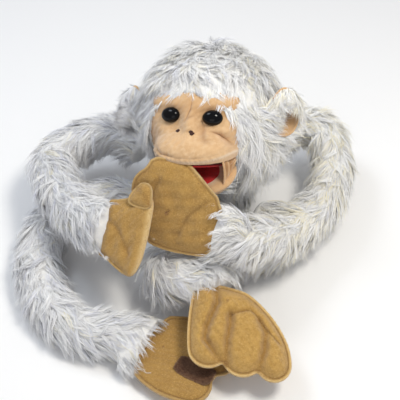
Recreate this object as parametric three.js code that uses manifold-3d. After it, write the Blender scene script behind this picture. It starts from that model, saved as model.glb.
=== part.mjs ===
// Long-limbed monkey hand puppet with a mouth that opens: fur sleeves, felt mittens and feet, soft face.
// Millimetres, +Z up. The origin is the middle of the flat seat, and the puppet looks towards -Y.
import * as THREE from 'three';
import { mergeVertices } from 'three/addons/utils/BufferGeometryUtils.js';
import Module from 'manifold-3d';

const wasm = await Module();
wasm.setup();

// ---- driving dimensions ----
const FUR_CLOTH = 2.4; // thickness of the fur fabric's backing and dense underpile
const FELT = 2.2;
const GAP = 0.4; // clearance between touching layers
const LOOSE = 0.9; // clearance round a limb's filling

const HEAD = { centre: [6, -6, 160], tilt: 38, turn: 17, radii: [79, 78, 79] };
const NECK = { x: -0.06, y: 0.26, z: -0.964, hole: 36, seat: 82 }; // direction from the head's centre
const BROW = { y: -48, z: 2, radii: [46, 26, 36] };
const MUZZLE = { y: -54, z: -38, radii: [50, 44, 30] };
const FACE_BACK = -46; // the face panel's rear seam
const FACE_CLOTH = 2.6;
const PALATE_Z = -48;
const MOUTH = { hingeY: -46, hingeZ: -50, halfWidth: 38, upperLength: 47, lowerLength: 44, open: 45 };
const BOARD = 1.5;
const LINING = 1.4;
const EYE = { x: 24, z: 0, radius: 9.5, height: 6.5, shank: 2.4, shankLength: 9 };
const EAR = { x: 93, y: -8, z: 6, radii: [17, 9, 26], wall: 2.4, turn: 32 };
const TORSO = { halfWidth: 60, depthRatio: 0.84, height: 92, neck: 43, wall: 3, lean: 0.17 };
const BACK_OPENING = { halfWidth: 38, halfHeight: 26, z: 42 };

const ARM_RADIUS = 21;
const LEG_RADIUS = 22;
const KNOB = 1.09; // a limb's ball end against its tube
const SOCKET = 1.1; // the socket round a ball end against the ball
const SOCKET_LEAD = 18; // how far past a joint's centre the next sleeve starts

// Centre lines of the stuffed limbs, root first. The joint splits the limb at that point of the list.
const LIMBS = [
  { name: 'left', parts: ['upper_arm', 'forearm'], radius: ARM_RADIUS, joint: 4,
    line: [[76, 28, 62], [112, 66, 74], [152, 58, 72], [163, 8, 60], [142, -54, 56], [100, -102, 64],
      [50, -138, 92], [24, -146, 112]] },
  { name: 'right', parts: ['upper_arm', 'forearm'], radius: ARM_RADIUS, joint: 3,
    line: [[-76, 26, 64], [-112, 52, 74], [-160, 44, 68], [-192, 14, 66], [-180, -42, 78], [-148, -96, 94],
      [-126, -122, 105]] },
  { name: 'left', parts: ['thigh', 'shin'], radius: LEG_RADIUS, joint: 4,
    line: [[62, -42, 24], [88, -62, 24], [76, -94, 24], [30, -110, 25], [-22, -116, 32], [-48, -140, 42],
      [-34, -162, 54], [4, -164, 62]] },
  { name: 'right', parts: ['thigh', 'shin'], radius: LEG_RADIUS, joint: 4,
    line: [[-74, -30, 24], [-120, -12, 24], [-176, -30, 24], [-200, -92, 24], [-188, -160, 24], [-148, -208, 24],
      [-88, -223, 24]] },
];

const COLOURS = { fur: 0xeeebe4, felt: 0xc79a4c, velour: 0xe2b987, red: 0x8c0f12, card: 0xb9a284, stuffing: 0xf4f2ec,
  plastic: 0x0a0a0b, thread: 0x3a120a, foam: 0xe9dfb8, lining: 0xd9d2c4, hook: 0x6b4a2c };
const FINISH = { plastic: 0.08, velour: 0.85, thread: 0.6 };
const cloth = (name) => new THREE.MeshStandardMaterial({
  color: COLOURS[name], roughness: FINISH[name] ?? 0.95, metalness: 0 });

// ---- solids ----
const rad = THREE.MathUtils.degToRad;

function toSolid(geometry) {
  const bare = geometry.index ? geometry.toNonIndexed() : geometry.clone();
  bare.deleteAttribute('normal');
  bare.deleteAttribute('uv');
  const merged = mergeVertices(bare, 1e-4);
  return new wasm.Manifold(new wasm.Mesh({
    numProp: 3,
    vertProperties: new Float32Array(merged.attributes.position.array),
    triVerts: new Uint32Array(merged.index.array),
  }));
}

function toMesh(name, solid, material) {
  const data = solid.getMesh();
  const geometry = new THREE.BufferGeometry();
  geometry.setAttribute('position', new THREE.BufferAttribute(data.vertProperties, 3));
  geometry.setIndex(new THREE.BufferAttribute(data.triVerts, 1));
  geometry.computeVertexNormals();
  const mesh = new THREE.Mesh(geometry, cloth(material));
  mesh.name = name;
  return mesh;
}

function place(geometry, x, y, z) {
  return toSolid(geometry.translate(x, y, z));
}

function box(low, high) {
  const size = high.map((value, i) => value - low[i]);
  const middle = high.map((value, i) => (value + low[i]) / 2);
  return place(new THREE.BoxGeometry(...size), ...middle);
}

function ball(centre, radii, across = 16, up = 10) {
  const [rx, ry, rz] = radii;
  const geometry = new THREE.SphereGeometry(1, across, up).rotateX(Math.PI / 2).scale(rx, ry, rz);
  return place(geometry, ...centre);
}

// A straight bar of elliptical section from one point to another.
function bar(from, to, halfWidth, halfHeight, sides = 14) {
  const start = new THREE.Vector3(...from);
  const along = new THREE.Vector3(...to).sub(start);
  const geometry = new THREE.CylinderGeometry(1, 1, along.length(), sides)
    .translate(0, along.length() / 2, 0).scale(halfWidth, 1, halfHeight);
  geometry.applyQuaternion(new THREE.Quaternion().setFromUnitVectors(
    new THREE.Vector3(0, 1, 0), along.normalize()));
  return place(geometry, ...from);
}

function plate(shape, low, high, segments = 6) {
  const geometry = new THREE.ExtrudeGeometry(shape, { depth: high - low, bevelEnabled: false, curveSegments: segments });
  return toSolid(geometry.translate(0, 0, low));
}

function tube(points, radius, sides = 8, steps = 6) {
  const section = new THREE.Shape();
  for (let k = 0; k < sides; k += 1) {
    const angle = (2 * Math.PI * k) / sides;
    const call = k === 0 ? 'moveTo' : 'lineTo';
    section[call](radius * Math.cos(angle), radius * Math.sin(angle));
  }
  const extrudePath = new THREE.CatmullRomCurve3(points);
  return toSolid(new THREE.ExtrudeGeometry(section, { steps, extrudePath, bevelEnabled: false }));
}

// ---- torso: one open-backed bag that leans back a little ----
function torsoBag(inset) {
  const { halfWidth, height, neck } = TORSO;
  const reach = inset > 0 ? 8 : 0; // the inside runs out through the neck
  const profile = [[0, inset], [halfWidth - 15 - inset, inset], [halfWidth - 3 - inset, 14], [halfWidth - inset, 38],
    [halfWidth - 8 - inset, 64], [neck - inset, height + reach], [0, height + reach]];
  const geometry = new THREE.LatheGeometry(profile.map(([x, y]) => new THREE.Vector2(x, y)), 20)
    .rotateX(Math.PI / 2).scale(1, TORSO.depthRatio, 1);
  const shear = new THREE.Matrix4().set(1, 0, 0, 0, 0, 1, TORSO.lean, 0, 0, 0, 1, 0, 0, 0, 0, 1);
  return toSolid(geometry.applyMatrix4(shear));
}

function buildTorso() {
  const seat = ball(HEAD.centre, Array(3).fill(NECK.seat + 4), 20, 12);
  const { halfWidth, halfHeight, z } = BACK_OPENING;
  const opening = bar([0, 10, z], [0, 90, z], halfWidth, halfHeight);
  const rim = bar([0, 20, z], [0, 90, z], halfWidth + GAP + 5, halfHeight + GAP + 5);
  const shell = torsoBag(0).subtract(torsoBag(TORSO.wall)).subtract(seat);
  const cover = shell.subtract(rim);
  const hem = shell.intersect(bar([0, 20, z], [0, 90, z], halfWidth + 5, halfHeight + 5)).subtract(opening);
  return [toMesh('torso_cover', cover, 'fur'), toMesh('hand_opening_hem', hem, 'lining')];
}

// The neck band is a ring of a sphere round the head's centre, between the head and the torso's rim.
function buildNeckBand() {
  const { hole, seat } = NECK;
  const at = (radius, distance) => new THREE.Vector2(radius, -Math.sqrt(distance ** 2 - radius ** 2));
  const inner = [hole, hole + 3.5, hole + 7].map((radius) => at(radius, seat));
  const outer = [hole + 7, hole + 3.5, hole].map((radius) => at(radius, seat + FUR_CLOTH));
  const ring = toSolid(new THREE.LatheGeometry([...outer.reverse(), ...inner.reverse(), outer[0]], 20));
  const mesh = toMesh('neck_band', ring, 'lining');
  mesh.position.set(...HEAD.centre);
  mesh.quaternion.setFromUnitVectors(new THREE.Vector3(0, -1, 0), new THREE.Vector3(NECK.x, NECK.y, NECK.z).normalize());
  return mesh;
}

// ---- head, in its own frame: +X its left, -Y forward, +Z its crown ----
const headMatrix = new THREE.Matrix4().makeRotationFromEuler(
  new THREE.Euler(rad(-HEAD.tilt), 0, rad(-HEAD.turn), 'XYZ'));
const neckInHead = new THREE.Vector3(NECK.x, NECK.y, NECK.z).normalize()
  .applyMatrix4(headMatrix.clone().invert());

function faceSolid(inset) {
  const brow = ball([0, BROW.y, BROW.z], BROW.radii.map((r) => r - inset));
  const muzzle = ball([0, MUZZLE.y, MUZZLE.z], MUZZLE.radii.map((r) => r - inset), 18, 12);
  return brow.add(muzzle);
}

// The space for a hand: a round neck passage that flattens into the mouth.
function handSpace() {
  const neck = bar(neckInHead.clone().multiplyScalar(110).toArray(), [0, -4, -24], NECK.hole, NECK.hole);
  const palm = bar([0, 6, -26], [0, FACE_BACK - 4, -30], 40, 18);
  return neck.add(palm);
}

function jawSpace() {
  return box([-47, -120, -110], [47, -26, PALATE_Z + 2]);
}

function eyeBar(side, radius, from, to) {
  const out = new THREE.Vector3(side * Math.sin(rad(19)), -Math.cos(rad(19)), 0);
  const root = new THREE.Vector3(side * EYE.x, BROW.y - BROW.radii[1] * 0.853, EYE.z);
  const at = (distance) => root.clone().addScaledVector(out, distance).toArray();
  return bar(at(from), at(to), radius, radius, 12);
}

function buildHeadShells() {
  const [rx, ry, rz] = HEAD.radii;
  const inside = (inset) => ball([0, 0, 0], [rx - inset, ry - inset, rz - inset], 18, 12);
  const opening = bar([0, FACE_BACK + 12, 2], [0, -100, 2], 50, 41);
  const muzzleHole = bar([0, FACE_BACK + 12, -36], [0, -100, -36], 51, 31.5);
  const front = opening.add(muzzleHole).add(jawSpace());
  const cover = inside(0).subtract(inside(FUR_CLOTH)).subtract(front).subtract(handSpace());
  const foam = inside(FUR_CLOTH + GAP).subtract(front).subtract(handSpace());
  const wide = faceSolid(0).subtract(faceSolid(FACE_CLOTH))
    .subtract(box([-80, FACE_BACK, -90], [80, 20, 60]))
    .subtract(box([-80, -120, -90], [80, 20, PALATE_Z]));
  const holes = eyeBar(1, EYE.shank + GAP, -8, 8).add(eyeBar(-1, EYE.shank + GAP, -8, 8));
  const floor = box([-80, -120, -90], [80, 40, PALATE_Z + 3 * GAP + BOARD + LINING + 20]);
  const padding = faceSolid(FACE_CLOTH + GAP).subtract(box([-80, FACE_BACK - 1, -90], [80, 20, 60])).subtract(floor)
    .subtract(eyeBar(1, 9, -16, 10)).subtract(eyeBar(-1, 9, -16, 10));
  return [toMesh('head_cover', cover, 'fur'), toMesh('head_foam', foam, 'foam'),
    toMesh('face_panel', wide.subtract(holes), 'velour'), toMesh('face_padding', padding, 'stuffing')];
}

function tongueShape(halfWidth, length, back = 0) {
  const shape = new THREE.Shape();
  const straight = length * 0.25;
  shape.moveTo(-halfWidth, back);
  shape.lineTo(halfWidth, back);
  shape.lineTo(halfWidth, -straight);
  shape.absellipse(0, -straight, halfWidth, length - straight, 0, Math.PI, true);
  return shape;
}

function pocket(halfWidth, length, low, high, wall) {
  const outer = plate(tongueShape(halfWidth, length), low, high);
  const inner = plate(tongueShape(halfWidth - wall, length - wall, 5), low + wall, high - wall);
  return outer.subtract(inner);
}

function buildUpperMouth() {
  const { halfWidth, upperLength, hingeY } = MOUTH;
  const shape = tongueShape(halfWidth, upperLength - 5);
  const lining = plate(tongueShape(halfWidth, upperLength - 4), PALATE_Z + GAP, PALATE_Z + GAP + LINING);
  const boardLow = PALATE_Z + 2 * GAP + LINING;
  const board = plate(shape, boardLow, boardLow + BOARD);
  const pocketLow = boardLow + BOARD + GAP;
  const fingers = pocket(halfWidth - 2, upperLength - 12, pocketLow, pocketLow + 18, 1.3);
  const meshes = [toMesh('upper_mouth_lining', lining, 'red'), toMesh('upper_mouth_board', board, 'card'),
    toMesh('finger_pocket', fingers, 'lining')];
  meshes.forEach((mesh) => mesh.position.set(0, hingeY - 2, 0));
  return meshes;
}

function buildEyes() {
  return [1, -1].flatMap((side) => {
    const label = side > 0 ? 'left' : 'right';
    const { radius, height, shank, shankLength } = EYE;
    const dome = [[0, -shankLength], [shank, -shankLength], [shank, 0.4], [radius - 1.5, 0.4], [radius, 1.6]];
    for (let k = 1; k < 5; k += 1) {
      const angle = (k * Math.PI) / 10;
      dome.push([radius * Math.cos(angle), 1.6 + (height - 1.6) * Math.sin(angle)]);
    }
    dome.push([0, height]);
    const eye = toSolid(new THREE.LatheGeometry(dome.map(([x, y]) => new THREE.Vector2(x, y)), 14));
    const ring = [[shank + GAP, -7], [7.5, -7], [7.5, -5.6], [shank + GAP, -5.6], [shank + GAP, -7]];
    const washer = toSolid(new THREE.LatheGeometry(ring.map(([x, y]) => new THREE.Vector2(x, y)), 10));
    const meshes = [toMesh(`${label}_eye`, eye, 'plastic'), toMesh(`${label}_eye_washer`, washer, 'plastic')];
    meshes.forEach((mesh) => {
      mesh.position.set(side * EYE.x, BROW.y - BROW.radii[1] * 0.853, EYE.z);
      mesh.rotation.set(0, 0, Math.PI + side * rad(19), 'XYZ');
    });
    return meshes;
  });
}

function buildNostrils() {
  return [1, -1].map((side) => {
    const mesh = toMesh(side > 0 ? 'left_nostril' : 'right_nostril',
      ball([0, 0, 0], [2.6, 3.4, 0.8], 8, 5), 'thread');
    const lift = 0.735;
    const forward = Math.sqrt(1 - lift ** 2 - 0.029);
    mesh.position.set(side * 8.5, MUZZLE.y - MUZZLE.radii[1] * forward - 0.95, MUZZLE.z + MUZZLE.radii[2] * lift + 1.2);
    mesh.rotation.set(rad(38), 0, side * rad(-20));
    return mesh;
  });
}

function buildEars() {
  return [1, -1].flatMap((side) => {
    const label = side > 0 ? 'left' : 'right';
    const [rx, ry, rz] = EAR.radii;
    const cup = (inset) => ball([0, 0, 0], [rx - inset, ry - inset, rz - inset], 12, 8);
    const front = box([-40, -40, -40], [40, -1, 40]);
    const back = cup(0).subtract(cup(EAR.wall)).subtract(front);
    const inner = cup(EAR.wall + GAP).subtract(cup(EAR.wall + GAP + 2)).subtract(front);
    const meshes = [toMesh(`${label}_ear_back`, back, 'fur'), toMesh(`${label}_ear_lining`, inner, 'velour')];
    meshes.forEach((mesh) => {
      mesh.position.set(side * EAR.x, EAR.y, EAR.z);
      mesh.rotation.set(0, 0, side * rad(EAR.turn));
    });
    return meshes;
  });
}

// ---- jaw, drawn closed in the head's frame about the mouth hinge, then opened ----
function buildJaw() {
  const { hingeY, hingeZ, halfWidth, lowerLength, open } = MOUTH;
  const lining = plate(tongueShape(halfWidth, lowerLength - 2, -3), 0, LINING);
  const board = plate(tongueShape(halfWidth, lowerLength - 3, -3), -GAP - BOARD, -GAP);
  const bowl = (inset) => ball([0, -14, -1], [44 - inset, 33 - inset, 21 - inset], 18, 10);
  const above = box([-60, -60, -GAP - BOARD - GAP], [60, 60, 60]);
  const rear = box([-60, -3, -60], [60, 60, 60]);
  const shell = bowl(0).subtract(bowl(FACE_CLOTH)).subtract(box([-60, -60, LINING], [60, 60, 60])).subtract(rear)
    .subtract(plate(tongueShape(halfWidth + GAP, lowerLength + GAP - 2, 9), -2 - GAP, LINING + 6));
  const thumbTop = -2 * GAP - BOARD;
  const thumb = pocket(15, 30, thumbTop - 12, thumbTop, 1.3).translate(0, -4, 0);
  const padding = bowl(FACE_CLOTH + GAP).subtract(above).subtract(rear)
    .subtract(box([-15.5, -34.6, -20], [15.5, 10, 10]));
  const meshes = [toMesh('jaw_cover', shell, 'velour'), toMesh('jaw_padding', padding, 'stuffing'),
    toMesh('lower_mouth_board', board, 'card'), toMesh('lower_mouth_lining', lining, 'red'),
    toMesh('thumb_pocket', thumb, 'lining')];
  const group = new THREE.Group();
  group.position.set(0, hingeY, hingeZ);
  group.rotation.set(rad(open), 0, 0);
  group.add(...meshes);
  return group;
}

function buildHead() {
  const head = new THREE.Group();
  head.position.set(...HEAD.centre);
  head.rotation.set(rad(-HEAD.tilt), 0, rad(-HEAD.turn), 'XYZ');
  head.add(...buildHeadShells(), ...buildUpperMouth(), ...buildEyes(), ...buildNostrils(), ...buildEars(), buildJaw());
  return head;
}

// ---- limbs: each half is a fur sleeve over a stuffed core, with a ball end where the next half turns ----
function buildLimb({ name, parts, radius, joint, line }) {
  const curve = new THREE.CatmullRomCurve3(line.map((p) => new THREE.Vector3(...p)));
  const bend = joint / (line.length - 1);
  const stretch = (from, to) => Array.from({ length: 7 }, (_, k) => curve.getPoint(from + ((to - from) * k) / 6));
  const upper = stretch(0, bend);
  const lower = stretch(bend, 1);
  const centre = upper[6];
  const lead = curve.getTangent(bend).setLength(SOCKET_LEAD);
  const knob = radius * KNOB;
  const knobAt = (point, inset) => ball(point.toArray(), Array(3).fill(knob - inset), 10, 6);
  const outward = curve.getTangent(0).multiplyScalar(-1.3 * knob).add(upper[0]);
  const mouth = bar(upper[0].toArray(), outward.toArray(), radius * 0.5, radius * 0.5, 8);
  const whole = (inset) => tube(upper, radius - inset).add(knobAt(upper[0], inset)).add(knobAt(centre, inset));
  const upperSleeve = whole(0).subtract(whole(FUR_CLOTH)).subtract(mouth);
  const upperCore = whole(FUR_CLOTH + LOOSE);
  const behind = centre.clone().addScaledVector(lead, -3);
  const cleared = bar(behind.toArray(), centre.clone().add(lead).toArray(), 3 * radius, 3 * radius, 8)
    .add(ball(centre.toArray(), Array(3).fill(knob * SOCKET), 12, 8));
  const half = (inset) => tube(lower, radius - inset).add(knobAt(lower[6], inset));
  const lowerSleeve = half(0).subtract(half(FUR_CLOTH)).subtract(cleared);
  const lowerCore = half(FUR_CLOTH + LOOSE).subtract(cleared);
  return [toMesh(`${name}_${parts[0]}_sleeve`, upperSleeve, 'fur'),
    toMesh(`${name}_${parts[0]}_filling`, upperCore, 'stuffing'),
    toMesh(`${name}_${parts[1]}_sleeve`, lowerSleeve, 'fur'),
    toMesh(`${name}_${parts[1]}_filling`, lowerCore, 'stuffing')];
}

// A group whose own X and Y are the given directions, for flat felt pieces.
function panelGroup(origin, along, across) {
  const x = new THREE.Vector3(...along).normalize();
  const z = x.clone().cross(new THREE.Vector3(...across)).normalize();
  const y = z.clone().cross(x);
  const group = new THREE.Group();
  group.matrix.makeBasis(x, y, z).setPosition(...origin);
  group.matrix.decompose(group.position, group.quaternion, group.scale);
  return group;
}

// ---- hands: two layers of felt sewn along their edge ----
function buildLeftHand() {
  const shape = new THREE.Shape();
  shape.moveTo(-3, 29);
  shape.lineTo(38, 42);
  shape.lineTo(66, 42);
  shape.quadraticCurveTo(92, 38, 91, 16);
  shape.quadraticCurveTo(84, -12, 66, -29);
  shape.lineTo(3, -31);
  const group = panelGroup([1.2, -146.5, 121.4], [-0.95, 0.313, 0], [0.15, 0.456, 0.876]);
  group.add(toMesh('left_hand_palm', plate(shape, GAP / 2, GAP / 2 + FELT), 'felt'));
  group.add(toMesh('left_hand_back', plate(shape, -GAP / 2 - FELT, -GAP / 2), 'felt'));
  return group;
}

// The right hand is folded back on itself across its middle.
function foldedLayer(radius, tail) {
  const fold = 31;
  const section = new THREE.Shape();
  section.moveTo(0, radius);
  section.lineTo(fold, radius);
  section.absarc(fold, 0, radius, Math.PI / 2, -Math.PI / 2, true);
  section.lineTo(tail, -radius);
  section.lineTo(tail, -radius + FELT);
  section.lineTo(fold, -radius + FELT);
  section.absarc(fold, 0, radius - FELT, -Math.PI / 2, Math.PI / 2, false);
  section.lineTo(0, radius - FELT);
  const strip = new THREE.ExtrudeGeometry(section, { depth: 110, bevelEnabled: false, curveSegments: 8 });
  return toSolid(strip.rotateX(Math.PI / 2).translate(0, 55, 0));
}

function buildRightHand() {
  const outline = new THREE.Shape();
  outline.moveTo(-12, -30);
  outline.lineTo(0, -31);
  outline.lineTo(29, -47);
  outline.lineTo(45, -30);
  outline.lineTo(45, 46);
  outline.lineTo(34, 48);
  outline.lineTo(0, 32);
  outline.lineTo(-12, 30);
  const trim = plate(outline, -20, 20);
  const group = panelGroup([-105.5, -143.5, 116.8], [0.902, -0.412, 0.124], [0.208, 0.669, 0.713]);
  group.add(toMesh('right_hand_back', foldedLayer(7, -4).intersect(trim), 'felt'));
  group.add(toMesh('right_hand_palm', foldedLayer(7 - FELT - GAP, 2).intersect(trim), 'felt'));
  return group;
}

// ---- feet: a sole and an upper of felt with three toes, over a flat filling ----
function crossing(a, b) {
  const between = new THREE.Vector2(b.x - a.x, b.y - a.y);
  const distance = between.length();
  const along = (a.r ** 2 - b.r ** 2 + distance ** 2) / (2 * distance);
  const off = Math.sqrt(a.r ** 2 - along ** 2);
  const unit = between.normalize();
  return new THREE.Vector2(a.x + unit.x * along - unit.y * off, a.y + unit.y * along + unit.x * off);
}

const TOES = [{ x: -11, y: 61, r: 23 }, { x: 26, y: 71, r: 23 }, { x: 59, y: 81, r: 19 }];

function footShape(inset) {
  const toes = TOES.map((toe) => ({ ...toe, r: toe.r - inset }));
  const creases = [crossing(toes[0], toes[1]), crossing(toes[1], toes[2])];
  const angle = (toe, point) => Math.atan2(point.y - toe.y, point.x - toe.x);
  const shape = new THREE.Shape();
  shape.moveTo(-25 + inset, 0);
  shape.lineTo(toes[0].x - toes[0].r, toes[0].y);
  shape.absarc(toes[0].x, toes[0].y, toes[0].r, Math.PI, angle(toes[0], creases[0]), true);
  shape.absarc(toes[1].x, toes[1].y, toes[1].r, angle(toes[1], creases[0]), angle(toes[1], creases[1]), true);
  shape.absarc(toes[2].x, toes[2].y, toes[2].r, angle(toes[2], creases[1]), 0, true);
  shape.quadraticCurveTo(74 - inset, 60, 25 - inset, 4);
  return shape;
}

function buildFoot(name, group, mirror, padAt) {
  const flip = (solid) => (mirror ? solid.mirror([1, 0, 0]) : solid);
  const thick = 15;
  const upper = plate(footShape(0), -thick, 0, 5)
    .subtract(plate(footShape(FELT + GAP), -thick + FELT, 1, 5).add(box([-18, -5, -thick + FELT], [18, 6, 1])));
  const sole = plate(footShape(0), GAP, GAP + FELT, 5);
  const filling = plate(footShape(FELT + 2 * GAP), -thick + FELT + GAP, -GAP, 5);
  group.add(toMesh(`${name}_foot_upper`, flip(upper), 'felt'), toMesh(`${name}_foot_sole`, flip(sole), 'felt'),
    toMesh(`${name}_foot_filling`, flip(filling), 'stuffing'));
  const [x, y] = padAt;
  const low = 2 * GAP + FELT;
  group.add(toMesh(`${name}_foot_fastener`, flip(box([x - 12, y - 22, low], [x + 12, y + 22, low + 1.6])), 'hook'));
  return group;
}

// ---- assembly ----
const puppet = new THREE.Group();
puppet.add(...buildTorso(), buildNeckBand(), buildHead());
LIMBS.forEach((limb) => puppet.add(...buildLimb(limb)));
puppet.add(buildLeftHand(), buildRightHand());
// The left foot lies sole down on the right foot, which lies sole up.
puppet.add(buildFoot('left', panelGroup([14, -192, 62], [1, 0, 0], [0, -0.97, -0.24]), false, [22, 62]));
puppet.add(buildFoot('right', panelGroup([-62, -236, 16.5], [-0.46, -0.88, 0], [0.88, -0.46, 0]), true, [-2, 58]));

export default puppet;
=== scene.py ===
"""Looks of the long-limbed monkey hand puppet: long-pile fur, felt mittens and feet, soft-sculpted face."""
import math

import bpy
import numpy as np
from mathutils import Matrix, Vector
from mathutils.geometry import delaunay_2d_cdt
from mathutils.kdtree import KDTree


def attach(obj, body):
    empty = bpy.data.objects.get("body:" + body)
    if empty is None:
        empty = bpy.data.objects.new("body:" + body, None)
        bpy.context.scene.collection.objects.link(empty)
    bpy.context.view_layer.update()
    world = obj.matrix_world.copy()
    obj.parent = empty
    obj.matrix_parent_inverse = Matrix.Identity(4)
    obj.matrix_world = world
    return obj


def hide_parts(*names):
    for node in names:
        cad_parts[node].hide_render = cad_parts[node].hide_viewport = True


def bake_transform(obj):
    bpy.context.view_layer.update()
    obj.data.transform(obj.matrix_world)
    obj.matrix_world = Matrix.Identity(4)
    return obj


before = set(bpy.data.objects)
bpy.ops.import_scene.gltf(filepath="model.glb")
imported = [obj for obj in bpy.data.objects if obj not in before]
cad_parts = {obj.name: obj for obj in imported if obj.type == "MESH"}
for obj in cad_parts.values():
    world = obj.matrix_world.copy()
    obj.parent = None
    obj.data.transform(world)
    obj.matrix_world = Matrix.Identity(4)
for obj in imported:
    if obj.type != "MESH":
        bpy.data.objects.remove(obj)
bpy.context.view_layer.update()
MM = 0.001


# ---- camera, light and floor ----
CAMERA_ELEVATION = math.radians(48)
CAMERA_TARGET = Vector((-6, -45, 55)) * MM
CAMERA_DISTANCE = 1050 * MM
LENS = 76.743  # millimetres, for a sensor 36 mm wide
FLOOR_HALF, FLOOR_LEVEL = 6, -0.0004  # metres
LAMPS = [
    ("key", (0.42, -0.30, 1.25), 0.30, 9.4, (1.0, 0.955, 0.87)),
    ("window", (-0.55, 0.25, 1.15), 0.42, 4.2, (0.84, 0.91, 1.0)),
    ("low", (-0.2, -1.3, 0.55), 0.7, 1.4, (1.0, 0.97, 0.94)),
]


def add_to_scene(name, data):
    thing = bpy.data.objects.new(name, data)
    bpy.context.scene.collection.objects.link(thing)
    return thing


def aim(thing, direction):
    thing.rotation_mode = "QUATERNION"
    thing.rotation_quaternion = direction.to_track_quat("-Z", "Y")


def make_stage():
    scene = bpy.context.scene
    back = Vector((0, -math.cos(CAMERA_ELEVATION), math.sin(CAMERA_ELEVATION)))
    data = bpy.data.cameras.new("camera")
    data.sensor_width, data.lens = 36, LENS
    data.clip_start, data.clip_end = 0.05, 20
    camera = add_to_scene("camera", data)
    camera.location = CAMERA_TARGET + back * CAMERA_DISTANCE
    aim(camera, -back)
    scene.camera = camera
    for name, place, size, power, colour in LAMPS:
        light = bpy.data.lights.new(name, "AREA")
        light.shape, light.size, light.energy, light.color = "SQUARE", size, power, colour
        lamp = add_to_scene(name, light)
        lamp.location = place
        aim(lamp, Vector((0, -0.08, 0.1)) - Vector(place))
    world = bpy.data.worlds.new("room")
    world.use_nodes = True
    world.node_tree.nodes["Background"].inputs[0].default_value = (0.93, 0.95, 1.0, 1)
    world.node_tree.nodes["Background"].inputs[1].default_value = 0.47
    scene.world = world
    scene.view_settings.view_transform = "Standard"
    floor_mesh = bpy.data.meshes.new("floor")
    corners = [(x * FLOOR_HALF, y * FLOOR_HALF, FLOOR_LEVEL) for x, y in ((-1, -1), (1, -1), (1, 1), (-1, 1))]
    floor_mesh.from_pydata(corners, [], [(0, 1, 2, 3)])
    floor_mesh.materials.append(plain("floor_white", (0.93, 0.93, 0.93), 0.9))
    add_to_scene("floor", floor_mesh)


# ---- materials ----
def plain(name, colour, roughness, sheen=0.0, coat=0.0):
    material = bpy.data.materials.new(name)
    material.use_nodes = True
    shader = material.node_tree.nodes["Principled BSDF"]
    shader.inputs["Base Color"].default_value = (*colour, 1)
    shader.inputs["Roughness"].default_value = roughness
    shader.inputs["Specular IOR Level"].default_value = 0.5 if coat else 0.2
    shader.inputs["Sheen Weight"].default_value = sheen
    shader.inputs["Sheen Roughness"].default_value = 0.6
    shader.inputs["Coat Weight"].default_value = coat
    return material


def cloth(name, tones, scale, bump, roughness=0.92, sheen=0.35, marks=(), grain=900):
    """Woven or felted cloth: three tones mottled over each other, a fine grain in the relief, and painted marks."""
    material = plain(name, tones[0], roughness, sheen)
    nodes, links = material.node_tree.nodes, material.node_tree.links
    shader = nodes["Principled BSDF"]
    place = nodes.new("ShaderNodeTexCoord").outputs["Object"]

    def noise(size, detail):
        made = nodes.new("ShaderNodeTexNoise")
        made.inputs["Scale"].default_value, made.inputs["Detail"].default_value = size, detail
        links.new(place, made.inputs["Vector"])
        return made

    def mixed(factor, under, tone):
        mix = nodes.new("ShaderNodeMix")
        mix.data_type = "RGBA"
        mix.inputs["A"].default_value, mix.inputs["B"].default_value = (*tones[0], 1), (*tone, 1)
        links.new(factor, mix.inputs["Factor"])
        if under:
            links.new(under, mix.inputs["A"])
        return mix.outputs["Result"]

    colour = None
    for step, tone in enumerate(tones[1:]):
        mottle = noise(scale * (1 + 2.7 * step), 5)
        mottle.inputs["Roughness"].default_value = 0.62
        ramp = nodes.new("ShaderNodeValToRGB")
        ramp.color_ramp.elements[0].position, ramp.color_ramp.elements[1].position = 0.42, 0.66
        links.new(mottle.outputs["Fac"], ramp.inputs["Fac"])
        colour = mixed(ramp.outputs["Color"], colour, tone)
    for attribute, tone in marks:
        painted = nodes.new("ShaderNodeAttribute")
        painted.attribute_name = attribute
        colour = mixed(painted.outputs["Fac"], colour, tone)
    links.new(colour, shader.inputs["Base Color"])
    relief = nodes.new("ShaderNodeBump")
    relief.inputs["Strength"].default_value = bump
    relief.inputs["Distance"].default_value = 0.0006
    links.new(noise(grain, 3).outputs["Fac"], relief.inputs["Height"])
    links.new(relief.outputs["Normal"], shader.inputs["Normal"])
    return material


FUR_TONES = [("fur_bright", (0.93, 0.93, 0.93)), ("fur_white", (0.87, 0.87, 0.87)), ("fur_cool", (0.78, 0.79, 0.85)),
             ("fur_warm", (0.92, 0.89, 0.79)), ("fur_cream", (0.90, 0.85, 0.68)), ("fur_shade", (0.60, 0.60, 0.62))]
FUR = [plain(name, colour, 0.7, 0.25) for name, colour in FUR_TONES]
# How often each tone is picked: cool side, middle, warm side of the puppet.
COOL = np.array([0.24, 0.30, 0.34, 0.03, 0.01, 0.08])
MIDDLE = np.array([0.30, 0.34, 0.14, 0.11, 0.03, 0.08])
WARM = np.array([0.22, 0.16, 0.01, 0.32, 0.26, 0.03])


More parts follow.
